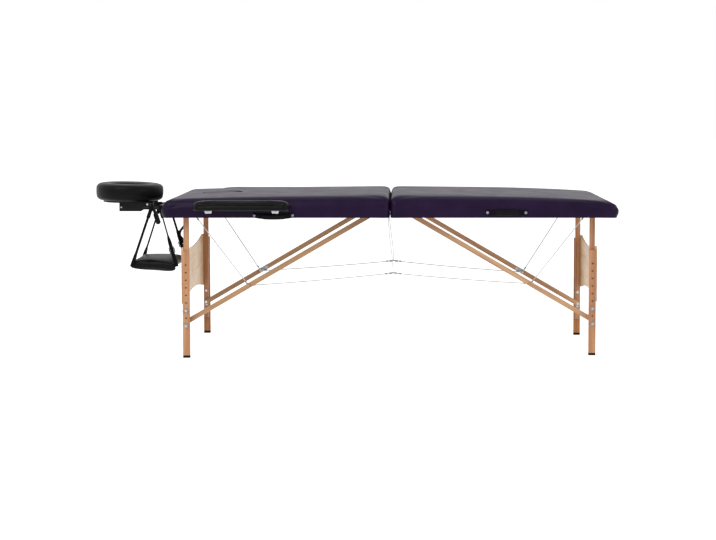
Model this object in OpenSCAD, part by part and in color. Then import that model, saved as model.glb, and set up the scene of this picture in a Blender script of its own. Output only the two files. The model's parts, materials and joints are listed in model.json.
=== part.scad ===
// Folding massage table on wooden legs, with a face cradle, an arm shelf and two side armrests.
// The centre hinge lies at x = 0 inside the modules, the floor at z = 0. Head end is towards -X.

/* [Top] */
// Length of one half, from the centre hinge to its end
half_length = 930; // [860:5:960]
// Width over the padded sides
table_width = 700; // [680:5:760]
// Height of the frame's underside above the floor
underside_h = 585; // [570:1:620]
// Depth of the frame's rails
rail_h = 41; // [40:1:60]
// Thickness of the frame's rails
rail_t = 16; // [12:1:20]
// Thickness of the plywood deck
deck_t = 4; // [3:0.5:6]
// Thickness of the foam pad at its crown
foam_t = 40; // [30:1:60]
// Thickness of the cover where it wraps the frame
cover_t = 2.5; // [1.5:0.5:4]
// Gap between the two halves
half_gap = 4; // [2:0.5:8]
// Corner radius in plan at the table's ends
end_corner_r = 45; // [20:1:60]
// Corner radius in plan beside the centre gap
gap_corner_r = 24; // [10:1:40]

/* [Face hole] */
// Distance of the face hole's middle from the table's end
face_hole_in = 203; // [180:1:230]
// Length of the face hole, along the table
face_hole_l = 172; // [140:1:180]
// Width of the face hole
face_hole_w = 118; // [90:1:130]
// Lip of the deck that the plug rests on
plug_lip = 9; // [5:0.5:14]
// Clearance round the plug
plug_gap = 1.5; // [1:0.1:3]

/* [Legs] */
// Distance of the leg pivots from the table's end
leg_in = 88; // [80:1:100]
// Depth of the leg pivot above the frame's underside
pivot_rise = 21; // [20:0.5:24]
// Distance of the head end's lower legs from the table's side
head_leg_inset = 42; // [38:0.5:44]
// Distance of the foot end's lower legs from the side. They fold between the others.
foot_leg_inset = 98; // [97:0.5:110]
// Width of a lower leg, along the table
lower_leg_w = 29; // [26:0.5:30]
// Thickness of a lower leg
lower_leg_t = 16; // [14:0.5:18]
// Height of the lower leg's top end
lower_leg_top = 442; // [430:1:480]
// Width of an upper leg, along the table
upper_leg_w = 22; // [20:0.5:24]
// Thickness of an upper leg
upper_leg_t = 18; // [16:0.5:20]
// Height of the upper leg's bottom end
upper_leg_bottom = 76; // [60:1:90]
// Height of the lower of the two leg bolts
bolt_h = 134; // [130:0.5:136]
// Distance between two height holes
hole_pitch = 31.4; // [30:0.1:32]
// Number of height holes in a lower leg
hole_count = 9; // [5:1:9]
// Radius of a leg bolt
bolt_r = 3; // [2.5:0.1:3.5]
// Height of the black foot cap
foot_cap_h = 10; // [6:0.5:20]

/* [End panels] */
// Thickness of the plywood end panel
panel_t = 4; // [3:0.5:5]
// Height of the panel's lower corners
panel_bottom_h = 223; // [212:1:240]
// Height of the panel's upper corners
panel_top_h = 455; // [440:1:480]
// Dip of the panel's upper edge
panel_dip = 25; // [15:1:60]
// Rise of the panel's lower edge
panel_rise = 26; // [10:1:50]
// Thickness of the batten between panel and leg
batten_t = 5.5; // [5.5:0.1:6]

/* [Struts] */
// Width of a strut, seen from the side
strut_w = 20; // [16:0.5:20.5]
// Thickness of a strut
strut_t = 10; // [8:0.5:10.5]
// Height of the strut's pivot on the leg
strut_foot_h = 146; // [145.5:0.5:150]
// Distance of the strut's upper pivot from the centre hinge
strut_top_x = 62; // [55:1:70]
// Depth of the strut's upper pivot above the frame's underside
strut_top_rise = 15; // [14:0.5:18]
// Radius of the strut pins
strut_pin_r = 3; // [2.5:0.1:4]

/* [Cables] */
// Radius of the steel cables
cable_r = 1.5; // [1:0.05:1.8]
// Height of the cross cables at the middle of the table
cable_mid_h = 340; // [320:1:380]
// Distance of the cable's upper end from the leg pivot
cable_inset = 40; // [34:1:48]
// Depth of the cable's hook above the frame's underside
cable_hook_rise = 14; // [10:0.5:18]

/* [Face cradle] */
// Length of the ring cushion, along the table
ring_l = 284; // [260:1:300]
// Width of the ring cushion
ring_w = 292; // [270:1:320]
// Height of the ring cushion from its base to its crown
ring_h = 72; // [50:1:90]
// Gap between the ring cushion and the table's end
ring_gap = 54; // [50:1:70]
// Height of the cradle's posts above the floor, given above the underside
post_rise = 21; // [19:0.5:23]
// Radius of a cradle post
post_r = 8; // [6:0.5:10]
// Distance of a cradle post from the table's middle line
post_y = 105; // [90:1:120]
// Distance of the tilt pivot from the table's end
tilt_reach = 106; // [100:1:112]

/* [Arm shelf] */
// Length of the arm shelf, along the table
shelf_l = 186; // [150:1:190]
// Width of the arm shelf
shelf_w = 256; // [240:1:300]
// Height of the arm shelf's underside
shelf_h = 342; // [330:1:360]
// Thickness of the arm shelf
shelf_t = 44; // [25:1:50]
// Width of the sling's webbing
webbing_w = 16; // [14:1:20]

/* [Armrests] */
// Length of an armrest
armrest_l = 386; // [340:1:400]
// Width of an armrest
armrest_w = 114; // [90:1:130]
// Thickness of the armrest's pad
armrest_t = 34; // [25:1:45]
// Height of the armrest's top above the frame's underside
armrest_rise = 70; // [68:1:78]
// Distance of the armrest from the table's end
armrest_inset = 137; // [120:1:145]

/* [Hidden] */
$fn = 48;

// Running clearance of a pin in its hole
pin_gap = 0.05;
// Clearance between flat wooden faces that slide on each other
slide_gap = 0.3;
// Clearance between a leg, a lower strut and an upper strut, side by side
lap_gap = 0.5;
// How far cuts run past the faces that they open
overrun = 1;
// Small radius on the edges of the wooden bars
edge_r = 2.5;

face_hole_x = half_length - face_hole_in;
leg_x = half_length - leg_in;
head_leg_y = table_width / 2 - head_leg_inset;
foot_leg_y = table_width / 2 - foot_leg_inset;
cable_top_x = leg_x - cable_inset;
armrest_x = half_length - armrest_inset - armrest_l;

deck_h = underside_h + rail_h;
pad_h = deck_h + deck_t;
pivot_h = underside_h + pivot_rise;
strut_top_h = underside_h + strut_top_rise;
frame_out_y = table_width / 2 - cover_t;
frame_in_y = frame_out_y - rail_t;
frame_end_x = half_length - cover_t;
frame_start_x = half_gap / 2 + cover_t;

// Hinge barrels hang just below the frame, so the closed halves keep room for their leaves
leaf_t = 2;
barrel_r = 3;
hinge_h = underside_h - barrel_r;

head_reach = half_length + ring_gap + ring_l;
hinge_x = (head_reach - half_length) / 2;

function leg_y(e) = e == "head" ? head_leg_y : foot_leg_y;
function leg_out_y(e) = leg_y(e) + lower_leg_t / 2;
function leg_in_y(e) = leg_y(e) - lower_leg_t / 2;
function upper_out_y(e) = leg_in_y(e) - slide_gap;
function upper_in_y(e) = upper_out_y(e) - upper_leg_t;
function lower_strut_out_y(e) = upper_in_y(e) - lap_gap;
function lower_strut_in_y(e) = lower_strut_out_y(e) - strut_t;
function upper_strut_out_y(e) = lower_strut_in_y(e) - lap_gap;
function upper_strut_in_y(e) = upper_strut_out_y(e) - strut_t;

// The strut folds flat when its knee lies in line with both pivots, first between them and then beyond
strut_foot = [leg_x, strut_foot_h];
strut_top = [strut_top_x, strut_top_h];
strut_foot_folded = [leg_x - (pivot_h - strut_foot_h), pivot_h];
open_span = norm(strut_top - strut_foot);
folded_span = norm(strut_top - strut_foot_folded);
lower_strut_l = (open_span - folded_span) / 2;
knee = strut_foot + (strut_top - strut_foot) * lower_strut_l / open_span;

// Places something made for the foot end, or mirrors it to the head end
module at_end(e) {
    translate([hinge_x, 0, 0])
        if (e == "head") mirror([1, 0, 0]) children();
        else children();
}

module both_sides() {
    children();
    mirror([0, 1, 0]) children();
}

module near_or_far(side) {
    if (side == "near") mirror([0, 1, 0]) children();
    else children();
}

// Stands a profile drawn in x and z between two places in y
module slab_y(y0, y1) {
    translate([0, y1, 0]) rotate([90, 0, 0]) linear_extrude(y1 - y0) children();
}

// A straight run of a drilled or round thing along y
module rod_y(x, z, y0, y1, r) {
    translate([x, y1, z]) rotate([90, 0, 0]) cylinder(r = r, h = y1 - y0);
}

// A bar with round ends, from p to q
bar_end_steps = 16;
module bar_2d(p, q, w) {
    turn = atan2(q[1] - p[1], q[0] - p[0]) - 90;
    function end_arc(c, a0) = [for (i = [0:bar_end_steps])
        let (a = a0 + 180 * i / bar_end_steps) c + w / 2 * [cos(a), sin(a)]];
    polygon(concat(end_arc(q, turn), end_arc(p, turn + 180)));
}

// Rectangle with a radius of its own at either end in x
module plan_2d(x0, x1, half_w, r0, r1) {
    translate([x0, -(half_w - r0)]) square([r0, 2 * (half_w - r0)]);
    translate([x0 + r0, -half_w]) square([x1 - r1 - x0 - r0, 2 * half_w]);
    translate([x1 - r1, -(half_w - r1)]) square([r1, 2 * (half_w - r1)]);
    for (s = [-1, 1]) {
        translate([x0 + r0, s * (half_w - r0)]) circle(r = r0);
        translate([x1 - r1, s * (half_w - r1)]) circle(r = r1);
    }
}

module rounded_2d(l, w, r) {
    plan_2d(-l / 2, l / 2, w / 2, r, r);
}

module stadium_2d(l, w) {
    square([l - w, w], center = true);
    for (s = [-1, 1]) translate([s * (l - w) / 2, 0]) circle(d = w);
}

module oval_2d(l, w) {
    scale([1, w / l]) circle(d = l);
}

// Soft forms: rings of points round a rounded rectangle, stacked as a list of [height, inset]
arc_steps = 7;
function corner_arc(cx, cy, r, a0) =
    [for (i = [0:arc_steps]) let (a = a0 + 90 * i / arc_steps) [cx + r * cos(a), cy + r * sin(a)]];
function plan_points(x0, x1, y0, y1, r0, r1, d) = concat(
    corner_arc(x1 - r1, y1 - r1, r1 - d, 0), corner_arc(x0 + r0, y1 - r0, r0 - d, 90),
    corner_arc(x0 + r0, y0 + r0, r0 - d, 180), corner_arc(x1 - r1, y0 + r1, r1 - d, 270));

module stack(rings) {
    n = len(rings[0]);
    m = len(rings);
    points = [for (ring = rings) each ring];
    sides = [for (j = [0:m - 2]) for (i = [0:n - 1])
        let (k = (i + 1) % n) each [[j * n + i, (j + 1) * n + i, (j + 1) * n + k],
            [j * n + i, (j + 1) * n + k, j * n + k]]];
    polyhedron(points = points, faces = concat([[for (i = [0:n - 1]) i]], sides,
        [[for (i = [n - 1:-1:0]) (m - 1) * n + i]]), convexity = 6);
}

// How far up a pad its sides are widest
pad_belly_share = 0.4;
// How far the crown reaches in from the rounded edge towards the corner's centre
crown_reach_share = 0.9;
// A pad with a rounded upper edge, drawn-in sides and a low crown
module pad_form(x0, x1, y0, y1, r0, r1, z0, h, edge, tuck, crown) {
    steps = 5;
    round_ = [for (i = [0:steps]) let (a = 90 * i / steps)
        [h - crown - edge + edge * sin(a), edge * (1 - cos(a))]];
    crown_shares = [0.34, 0.7, 1];
    reach = (min(r0, r1) - edge) * crown_reach_share;
    crown_in = [for (s = crown_shares) [h - crown + crown * s, edge + reach * s]];
    levels = concat([[0, tuck], [h * pad_belly_share, 0]], round_, crown_in);
    stack([for (l = levels) [for (p = plan_points(x0, x1, y0, y1, r0, r1, l[1])) [p[0], p[1], z0 + l[0]]]]);
}

// A band of webbing swept along points, its width along a fixed direction
module band(path, across, width, thick) {
    n = len(path);
    side = across * width / 2;
    function tangent(i) = let (d = path[min(i + 1, n - 1)] - path[max(i - 1, 0)]) d / norm(d);
    function up(i) = let (u = cross(across, tangent(i))) u / norm(u) * thick / 2;
    rings = [for (i = [0:n - 1]) [path[i] - side - up(i), path[i] + side - up(i), path[i] + side + up(i),
        path[i] - side + up(i)]];
    points = [for (r = rings) each r];
    sides = [for (j = [0:n - 2]) for (i = [0:3]) let (k = (i + 1) % 4)
        each [[j * 4 + i, j * 4 + k, (j + 1) * 4 + k], [j * 4 + i, (j + 1) * 4 + k, (j + 1) * 4 + i]]];
    polyhedron(points = points, faces = concat([[3, 2, 1, 0]], sides,
        [[for (i = [0:3]) (n - 1) * 4 + i]]), convexity = 4);
}

// Frame, deck, pad and cover of each half

// Sockets of the cradle posts and of the armrest tongues
socket_x_shares = [0.157, 0.863];
// Width of an armrest tongue
tongue_w = 22;
// Thickness of an armrest tongue
tongue_t = 3;
// Height of the tongues above the frame's underside
tongue_rise = 19;
function tongue_x(i) = armrest_x + armrest_l * socket_x_shares[i];

module half_plan(d, x0, x1) {
    plan_2d(x0, x1, table_width / 2 - d, gap_corner_r - d, end_corner_r - d);
}

module tongue_slots(gap) {
    for (s = [-1, 1]) for (i = [0, 1])
        translate([tongue_x(i), s * table_width / 2, underside_h + tongue_rise])
            cube([tongue_w + 2 * gap, 4 * rail_t, tongue_t + 2 * gap], center = true);
}

module post_bores(r) {
    for (s = [-1, 1]) translate([half_length - 2 * rail_t, s * post_y, underside_h + post_rise])
        rotate([0, 90, 0]) cylinder(r = r, h = 3 * rail_t);
}

module frame(e) {
    color("burlywood") at_end(e) difference() {
        translate([0, 0, underside_h]) linear_extrude(rail_h) difference() {
            half_plan(cover_t, frame_start_x, frame_end_x);
            translate([frame_start_x + rail_t, -frame_in_y])
                square([frame_end_x - frame_start_x - 2 * rail_t, 2 * frame_in_y]);
        }
        if (e == "head") {
            tongue_slots(slide_gap);
            post_bores(post_r + pin_gap);
        }
    }
}

module face_hole(grow) {
    translate([face_hole_x, 0]) stadium_2d(face_hole_l + 2 * grow, face_hole_w + 2 * grow);
}

module deck(e) {
    color("tan") at_end(e) translate([0, 0, deck_h]) linear_extrude(deck_t) difference() {
        half_plan(cover_t, frame_start_x, frame_end_x);
        if (e == "head") face_hole(-plug_lip);
    }
}

// Radius of the pad's rounded upper edge
pad_edge = 20;
// How far the pad's sides are drawn in at their foot
pad_tuck = 1.5;
// Rise of the pad's middle
pad_crown = 5;

module pad(e) {
    color("#2a1a33") at_end(e) difference() {
        pad_form(half_gap / 2, half_length, -table_width / 2, table_width / 2, gap_corner_r, end_corner_r,
            pad_h, foam_t, pad_edge, pad_tuck, pad_crown);
        if (e == "head")
            translate([0, 0, pad_h - overrun]) linear_extrude(foam_t + 2 * overrun) face_hole(0);
    }
}

// The cover is drawn round the frame, down to its lower edge
module skirt(e) {
    color("#2a1a33") at_end(e) difference() {
        translate([0, 0, underside_h]) linear_extrude(pad_h - underside_h) difference() {
            half_plan(0, half_gap / 2, half_length);
            half_plan(cover_t, frame_start_x, frame_end_x);
        }
        if (e == "head") {
            tongue_slots(slide_gap);
            post_bores(post_r + slide_gap);
        }
    }
}

// Radius of the plug's upper edge
plug_edge = 6;
// Rise of the plug's middle
plug_crown = 2;
module face_hole_plug() {
    l = face_hole_l / 2 - plug_gap;
    w = face_hole_w / 2 - plug_gap;
    color("#2a1a33") at_end("head")
        pad_form(face_hole_x - l, face_hole_x + l, -w, w, w - overrun, w - overrun,
            pad_h, foam_t - pad_tuck, plug_edge, pad_tuck, plug_crown);
}

// Centre hinge

// Place of the two hinges across the table
hinge_y = 150;
// Length of a hinge
hinge_l = 90;
// Width of a hinge leaf
leaf_w = 26;
// Knuckles of a hinge, shared by its two leaves
hinge_knuckles = 5;
// Gap between two knuckles
knuckle_gap = 0.4;
// Radius of the hinge pin
hinge_pin_r = 1.5;
module hinge_leaves(e) {
    first = e == "head" ? 0 : 1;
    pitch = hinge_l / hinge_knuckles;
    color("silver") both_sides() at_end(e) difference() {
        union() {
            translate([barrel_r + knuckle_gap, hinge_y - hinge_l / 2, underside_h - leaf_t])
                cube([leaf_w, hinge_l, leaf_t]);
            for (i = [first:2:hinge_knuckles - 1]) {
                y0 = hinge_y - hinge_l / 2 + i * pitch + knuckle_gap / 2;
                rod_y(0, hinge_h, y0, y0 + pitch - knuckle_gap, barrel_r);
                translate([0, y0, underside_h - leaf_t]) cube([leaf_w, pitch - knuckle_gap, leaf_t]);
            }
        }
        rod_y(0, hinge_h, hinge_y - hinge_l, hinge_y + hinge_l, hinge_pin_r + (e == "head" ? 0 : pin_gap));
    }
}

module hinge_pins() {
    color("silver") both_sides() at_end("head")
        rod_y(0, hinge_h, hinge_y - hinge_l / 2, hinge_y + hinge_l / 2, hinge_pin_r);
}

// Brackets under the deck. Each is a bent steel plate with two ears and a pin.

// Thickness of the bracket steel
ear_t = 2;
// How far the plate stands out beside each ear, for its screws
plate_flange = 13;
// Radius of the bracket's screw holes
screw_r = 2;
module ear_bracket(x, z, y_in, y_out, ear_r, pin_r, half_l) {
    inner = y_in - lap_gap;
    outer = y_out + lap_gap;
    top = deck_h - ear_t;
    difference() {
        translate([x - half_l, inner - ear_t - plate_flange, top])
            cube([2 * half_l, outer - inner + 2 * (ear_t + plate_flange), ear_t]);
        for (sx = [-1, 1]) for (y = [inner - ear_t - plate_flange / 2, outer + ear_t + plate_flange / 2])
            translate([x + sx * (half_l - 2 * screw_r), y, top - overrun])
                cylinder(r = screw_r, h = ear_t + 2 * overrun);
    }
    for (y = [inner - ear_t, outer]) slab_y(y, y + ear_t) difference() {
        union() {
            translate([x, z]) circle(r = ear_r);
            translate([x - ear_r, z]) square([2 * ear_r, top - z]);
        }
    }
    rod_y(x, z, inner - ear_t, outer + ear_t, pin_r);
}

// Radius of the leg's pivot pin
leg_pin_r = 4;
// Radius of the ears at the leg's pivot
leg_ear_r = 9;
// Half the length of the leg bracket's plate
leg_plate_half = 20;
// Radius of the ears at the strut's upper pivot
strut_ear_r = 9;
// Half the length of the strut bracket's plate
strut_plate_half = 18;
// Radius of the eye's hole
eye_r = 2.6;
// Thickness of the eye
eye_wire = 2;
// The cables' hooks stand beside the side rails, clear of the folded legs
hook_gap = 10;
hook_y = frame_in_y - hook_gap;
module brackets(e) {
    color("silver") both_sides() at_end(e) {
        ear_bracket(strut_top_x, strut_top_h, upper_strut_in_y(e), upper_strut_out_y(e),
            strut_ear_r, strut_pin_r, strut_plate_half);
        ear_bracket(leg_x, pivot_h, upper_in_y(e), upper_out_y(e), leg_ear_r, leg_pin_r, leg_plate_half);
        // Eye that the cable is hooked to, on a small plate of its own
        slab_y(hook_y - eye_wire / 2, hook_y + eye_wire / 2) difference() {
            union() {
                translate([cable_top_x, cable_top_h]) circle(r = eye_r + eye_wire);
                translate([cable_top_x - eye_wire, cable_top_h])
                    square([2 * eye_wire, deck_h - cable_top_h]);
            }
            translate([cable_top_x, cable_top_h]) circle(r = eye_r);
        }
        translate([cable_top_x - leg_ear_r, hook_y - leg_ear_r / 2, deck_h - ear_t])
            cube([2 * leg_ear_r, leg_ear_r, ear_t]);
    }
}

// Legs

// Depth to which a bolt head is let into the upper leg
head_recess = 4;
// Radius of a bolt head
bolt_head_r = 5.5;
// The upper bolt sits two holes above the lower one
high_bolt_h = bolt_h + 2 * hole_pitch;
BOLT_HEIGHTS = [bolt_h, high_bolt_h];

module upright(x, w, y0, y1, z0, z1) {
    translate([x, (y0 + y1) / 2, z0]) linear_extrude(z1 - z0) rounded_2d(w, y1 - y0, edge_r);
}

// Depth of the strut's screw in the upper leg
strut_pin_depth = 12;
module upper_legs(e) {
    color("burlywood") both_sides() at_end(e) difference() {
        intersection() {
            upright(leg_x, upper_leg_w, upper_in_y(e), upper_out_y(e),
                upper_leg_bottom, pivot_h + upper_leg_w);
            slab_y(upper_in_y(e), upper_out_y(e)) {
                translate([leg_x, pivot_h]) circle(d = upper_leg_w);
                translate([leg_x - upper_leg_w / 2, upper_leg_bottom])
                    square([upper_leg_w, pivot_h - upper_leg_bottom]);
            }
        }
        rod_y(leg_x, pivot_h, upper_in_y(e) - overrun, upper_out_y(e) + overrun, leg_pin_r + pin_gap);
        rod_y(leg_x, strut_foot_h, upper_in_y(e) - overrun, upper_in_y(e) + strut_pin_depth, strut_pin_r);
        for (z = BOLT_HEIGHTS) {
            rod_y(leg_x, z, upper_in_y(e) - overrun, upper_out_y(e) + overrun, bolt_r);
            rod_y(leg_x, z, upper_in_y(e) - overrun, upper_in_y(e) + head_recess, bolt_head_r);
        }
    }
}

module panel_2d(e) {
    edge = upper_out_y(e);
    half_chord = upper_in_y(e);
    top_r = (half_chord * half_chord + panel_dip * panel_dip) / (2 * panel_dip);
    low_r = (half_chord * half_chord + panel_rise * panel_rise) / (2 * panel_rise);
    difference() {
        translate([-edge, panel_bottom_h]) square([2 * edge, panel_top_h - panel_bottom_h]);
        translate([0, panel_top_h - panel_dip + top_r]) circle(r = top_r, $fn = 180);
        translate([0, panel_bottom_h + panel_rise - low_r]) circle(r = low_r, $fn = 180);
    }
}

module end_panel(e) {
    color("wheat") at_end(e) {
        translate([leg_x + upper_leg_w / 2 + batten_t, 0, 0]) rotate([90, 0, 90])
            linear_extrude(panel_t) panel_2d(e);
        for (s = [-1, 1])
            translate([leg_x + upper_leg_w / 2, min(s * upper_in_y(e), s * upper_out_y(e)), panel_bottom_h])
                cube([batten_t, upper_leg_t, panel_top_h - panel_bottom_h]);
    }
}

// Bolts through both legs, with their heads let into the upper leg, and the pins that the struts turn on
bolt_end = 9;
// Thickness of the strut screw's head
strut_head_t = 3;
// Radius of the strut screw's head
strut_head_r = 5.5;
module leg_bolts(e) {
    color("silver") both_sides() at_end(e) {
        for (z = BOLT_HEIGHTS) {
            rod_y(leg_x, z, upper_in_y(e) + slide_gap, leg_out_y(e) + bolt_end, bolt_r);
            rod_y(leg_x, z, upper_in_y(e) + slide_gap, upper_in_y(e) + head_recess, bolt_head_r);
        }
        strut_head_y = lower_strut_in_y(e) + slide_gap;
        rod_y(leg_x, strut_foot_h, strut_head_y, upper_in_y(e) + strut_pin_depth, strut_pin_r);
        rod_y(leg_x, strut_foot_h, strut_head_y, lower_strut_in_y(e) + strut_head_t, strut_head_r);
    }
}

// Clearance round a bolt in its height hole
hole_gap = 0.4;
module lower_leg(e, side) {
    color("burlywood") at_end(e) near_or_far(side) difference() {
        upright(leg_x, lower_leg_w, leg_in_y(e), leg_out_y(e), foot_cap_h, lower_leg_top);
        for (i = [0:hole_count - 1])
            rod_y(leg_x, bolt_h + i * hole_pitch, leg_in_y(e) - overrun, leg_out_y(e) + overrun,
                bolt_r + hole_gap);
    }
}

module foot_cap(e, side) {
    color("#151515") at_end(e) near_or_far(side)
        upright(leg_x, lower_leg_w, leg_in_y(e), leg_out_y(e), 0, foot_cap_h);
}

// Wing nut: a washer, a boss with its thread hole, and two rounded wings
washer_r = 8;
// Thickness of the washer
washer_t = 1.2;
// Radius of the nut's boss
boss_r = 5.5;
// Height of the nut's boss
boss_h = 6;
// Reach of a wing from the bolt's axis
wing_span = 17;
// Thickness of a wing
wing_t = 2.5;
// Height of a wing
wing_h = 8.2;
// How far each nut is turned, in degrees
NUT_TURNS = [["near", "high", 15], ["near", "low", 140], ["far", "high", 35], ["far", "low", 115]];
function nut_turn(side, level) = [for (t = NUT_TURNS) if (t[0] == side && t[1] == level) t[2]][0];

module wing_nut(e, side, level) {
    z = level == "high" ? high_bolt_h : bolt_h;
    color("silver") at_end(e) near_or_far(side) translate([leg_x, leg_out_y(e) + slide_gap / 2, z])
        rotate([-90, nut_turn(side, level), 0]) difference() {
            union() {
                cylinder(r = washer_r, h = washer_t);
                cylinder(r = boss_r, h = boss_h);
                for (a = [0, 180]) rotate([0, 0, a]) translate([0, wing_t / 2, 0]) rotate([90, 0, 0])
                    linear_extrude(wing_t) {
                        translate([0, washer_t]) square([wing_span - wing_h / 2, wing_h - 2 * washer_t]);
                        translate([wing_span - wing_h / 2, wing_h / 2 + washer_t / 2])
                            circle(d = wing_h - washer_t);
                    }
            }
            translate([0, 0, -overrun]) cylinder(r = bolt_r + pin_gap, h = wing_h + 2 * overrun);
        }
}

// Struts

module lower_struts(e) {
    y0 = lower_strut_in_y(e);
    y1 = lower_strut_out_y(e);
    color("burlywood") both_sides() at_end(e) difference() {
        slab_y(y0, y1) bar_2d(strut_foot, knee, strut_w);
        rod_y(leg_x, strut_foot_h, y0 - overrun, y1 + overrun, strut_pin_r + pin_gap);
        rod_y(leg_x, strut_foot_h, y0 - overrun, y0 + strut_head_t + lap_gap, strut_head_r + pin_gap);
    }
}

module upper_struts(e) {
    y0 = upper_strut_in_y(e);
    y1 = upper_strut_out_y(e);
    color("burlywood") both_sides() at_end(e) difference() {
        slab_y(y0, y1) bar_2d(knee, strut_top, strut_w);
        rod_y(strut_top[0], strut_top[1], y0 - overrun, y1 + overrun, strut_pin_r + pin_gap);
        rod_y(knee[0], knee[1], y0 - overrun, y1 + overrun, strut_pin_r + pin_gap);
    }
}

// Steel plate and bolt at the knee, which the cables are hooked to
plate_t = 1.6;
// Length of the knee plate past the knee
plate_l = 30;
// Width of the knee plate
plate_w = 15;
// Radius of the knee bolt's head
knee_head_r = 5.5;
// Thickness of the knee bolt's head
knee_head_t = 3;
module knee_fittings(e) {
    inner = upper_strut_in_y(e);
    along = (strut_top - strut_foot) / open_span;
    color("#8a8d92") both_sides() at_end(e) {
        slab_y(inner - plate_t, inner) bar_2d(knee, knee + along * plate_l, plate_w);
        rod_y(knee[0], knee[1], inner - plate_t, upper_strut_out_y(e), strut_pin_r);
        rod_y(knee[0], knee[1], inner - plate_t - knee_head_t, inner - plate_t, knee_head_r);
    }
}

// Steel cables, as straight runs between their hooks

cable_top_h = underside_h + cable_hook_rise;
function cable_end_y(e) = upper_strut_in_y(e) - plate_t - knee_head_t - 3 * cable_r;
// The cross cables meet at one place across the table
cable_mid_y = (cable_end_y("head") + cable_end_y("foot")) / 2;
// Sides of a cable
cable_sides = 16;

module run(a, b) {
    d = b - a;
    translate(a) rotate([0, acos(d[2] / norm(d)), atan2(d[1], d[0])])
        cylinder(r = cable_r, h = norm(d), $fn = cable_sides);
}

function cable_knee(e) = [knee[0], cable_end_y(e), knee[1]];
module end_cables(e) {
    color("#b9bcc0") both_sides() at_end(e)
        run(cable_knee(e), [cable_top_x, hook_y, cable_top_h - eye_r - eye_wire - cable_r]);
}

// Length of the ferrule
ferrule_l = 14;
// Radius of the ferrule
ferrule_r = 3;
// The cables cross over at a ferrule a little on the foot half's side
ferrule_x = 12;
module cross_cables(e) {
    side = e == "head" ? -1 : 1;
    color("#b9bcc0") both_sides() at_end(e)
        run(cable_knee(e), [ferrule_l / 2 + side * ferrule_x + slide_gap, cable_mid_y, cable_mid_h]);
}

// Place of the hanger's top, on the head half
hanger_x = 9;
module cable_hangers() {
    color("#b9bcc0") both_sides() at_end("foot") {
        translate([ferrule_x - ferrule_l / 2, cable_mid_y, cable_mid_h]) rotate([0, 90, 0])
            cylinder(r = ferrule_r, h = ferrule_l);
        run([ferrule_x, cable_mid_y, cable_mid_h + ferrule_r],
            [-hanger_x, cable_mid_y, underside_h - eye_wire]);
        translate([-hanger_x - leaf_t, cable_mid_y - leaf_w / 4, underside_h - eye_wire])
            cube([2 * leaf_t, leaf_w / 2, eye_wire]);
    }
}

// Carry handles on the near side: a webbing strap with a rolled grip, held by two studs

// The handle's middle, past the armrest's inner end
handle_past = 69;
// Distance between the two studs of a handle
handle_l = 156;
// Width of the handle's webbing
handle_w = 20;
// Thickness of the handle
handle_t = 5;
// How far the handle stands off the table's side
handle_bow = 11;
// Height of the head half's handle above the frame's underside, at its studs
head_handle_rise = 12;
// How far that handle hangs down in its middle
head_handle_sag = 9;
// Height of the foot half's handle above the frame's underside
foot_handle_rise = 20;
// Radius of a stud
stud_r = 6;
// Height of a stud
stud_t = 4;
// Steps along a handle
handle_steps = 14;
// How much of the sag is left at the studs
handle_stud_share = 0.2;
module handle(e, rise, sag) {
    x_mid = armrest_x + handle_past;
    y_side = -table_width / 2 - handle_t / 2;
    path = [for (i = [0:handle_steps]) let (s = -1 + 2 * i / handle_steps, lift = pow(1 - s * s, 0.6))
        [x_mid + s * (handle_l / 2 + stud_r), y_side - slide_gap - handle_bow * lift,
            underside_h + rise - sag * lift]];
    color("#1a1420") at_end(e) band(path, [0, 0, 1], handle_w, handle_t);
    color("silver") at_end(e) for (s = [-1, 1])
        rod_y(x_mid + s * handle_l / 2, underside_h + rise - sag * handle_stud_share,
            y_side - handle_t - stud_t - slide_gap, y_side - handle_t - slide_gap, stud_r);
}

// Face cradle

// Height of the cradle's posts
post_h = underside_h + post_rise;
// Length of a post inside the table
post_inside = 58;
// Place of the tilt axis along the table
tilt_x = half_length + tilt_reach;
// Height of the tilt axis above the posts
tilt_rise = 13;
tilt_h = post_h + tilt_rise;
// Distance of the crossbar from the table's end
crossbar_out = 46;
// Width of the crossbar
base_w = 16;
// Radius of the tilt pin
tilt_pin_r = 4;
// Thickness of the cradle's board
board_t = 9;
ring_x0 = half_length + ring_gap;
// Height of the board's underside over the tilt axis
board_rise = 8;
ring_base_h = tilt_h + board_rise + board_t;
// Inner faces of the two arms under the board
arm_y = 78;
// Thickness of an arm
arm_t = 7;

// Thickness of the crossbar
base_t = 14;
// Radius of the lugs that carry the tilt pin
lug_r = 11;
// Inner and outer faces of the lugs
lug_in_y = arm_y + arm_t + lap_gap;
lug_out_y = post_y - post_r / 2;
module cradle_base() {
    color("#1c1c1e") at_end("head") {
        for (s = [-1, 1]) translate([half_length - post_inside, s * post_y, post_h]) rotate([0, 90, 0])
            cylinder(r = post_r, h = post_inside + tilt_reach + base_w);
        translate([half_length + crossbar_out, -post_y, post_h - base_t / 2])
            cube([base_w, 2 * post_y, base_t]);
        both_sides() slab_y(lug_in_y, lug_out_y) {
            translate([tilt_x, tilt_h]) circle(r = lug_r);
            translate([tilt_x - lug_r, post_h - base_t / 2])
                square([2 * lug_r, tilt_h - post_h + base_t / 2]);
        }
        rod_y(tilt_x, tilt_h, -lug_out_y + overrun, lug_out_y - overrun, tilt_pin_r);
    }
}

// Radius of an arm's end at the pin
arm_r = 11;
// Length of an arm
arm_l = 123;
// Depth of an arm below the tilt axis
arm_drop = 30;
// How far the board stays inside the ring cushion
board_inset = 26;
// Length of the face opening
ring_hole_l = 118;
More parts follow.
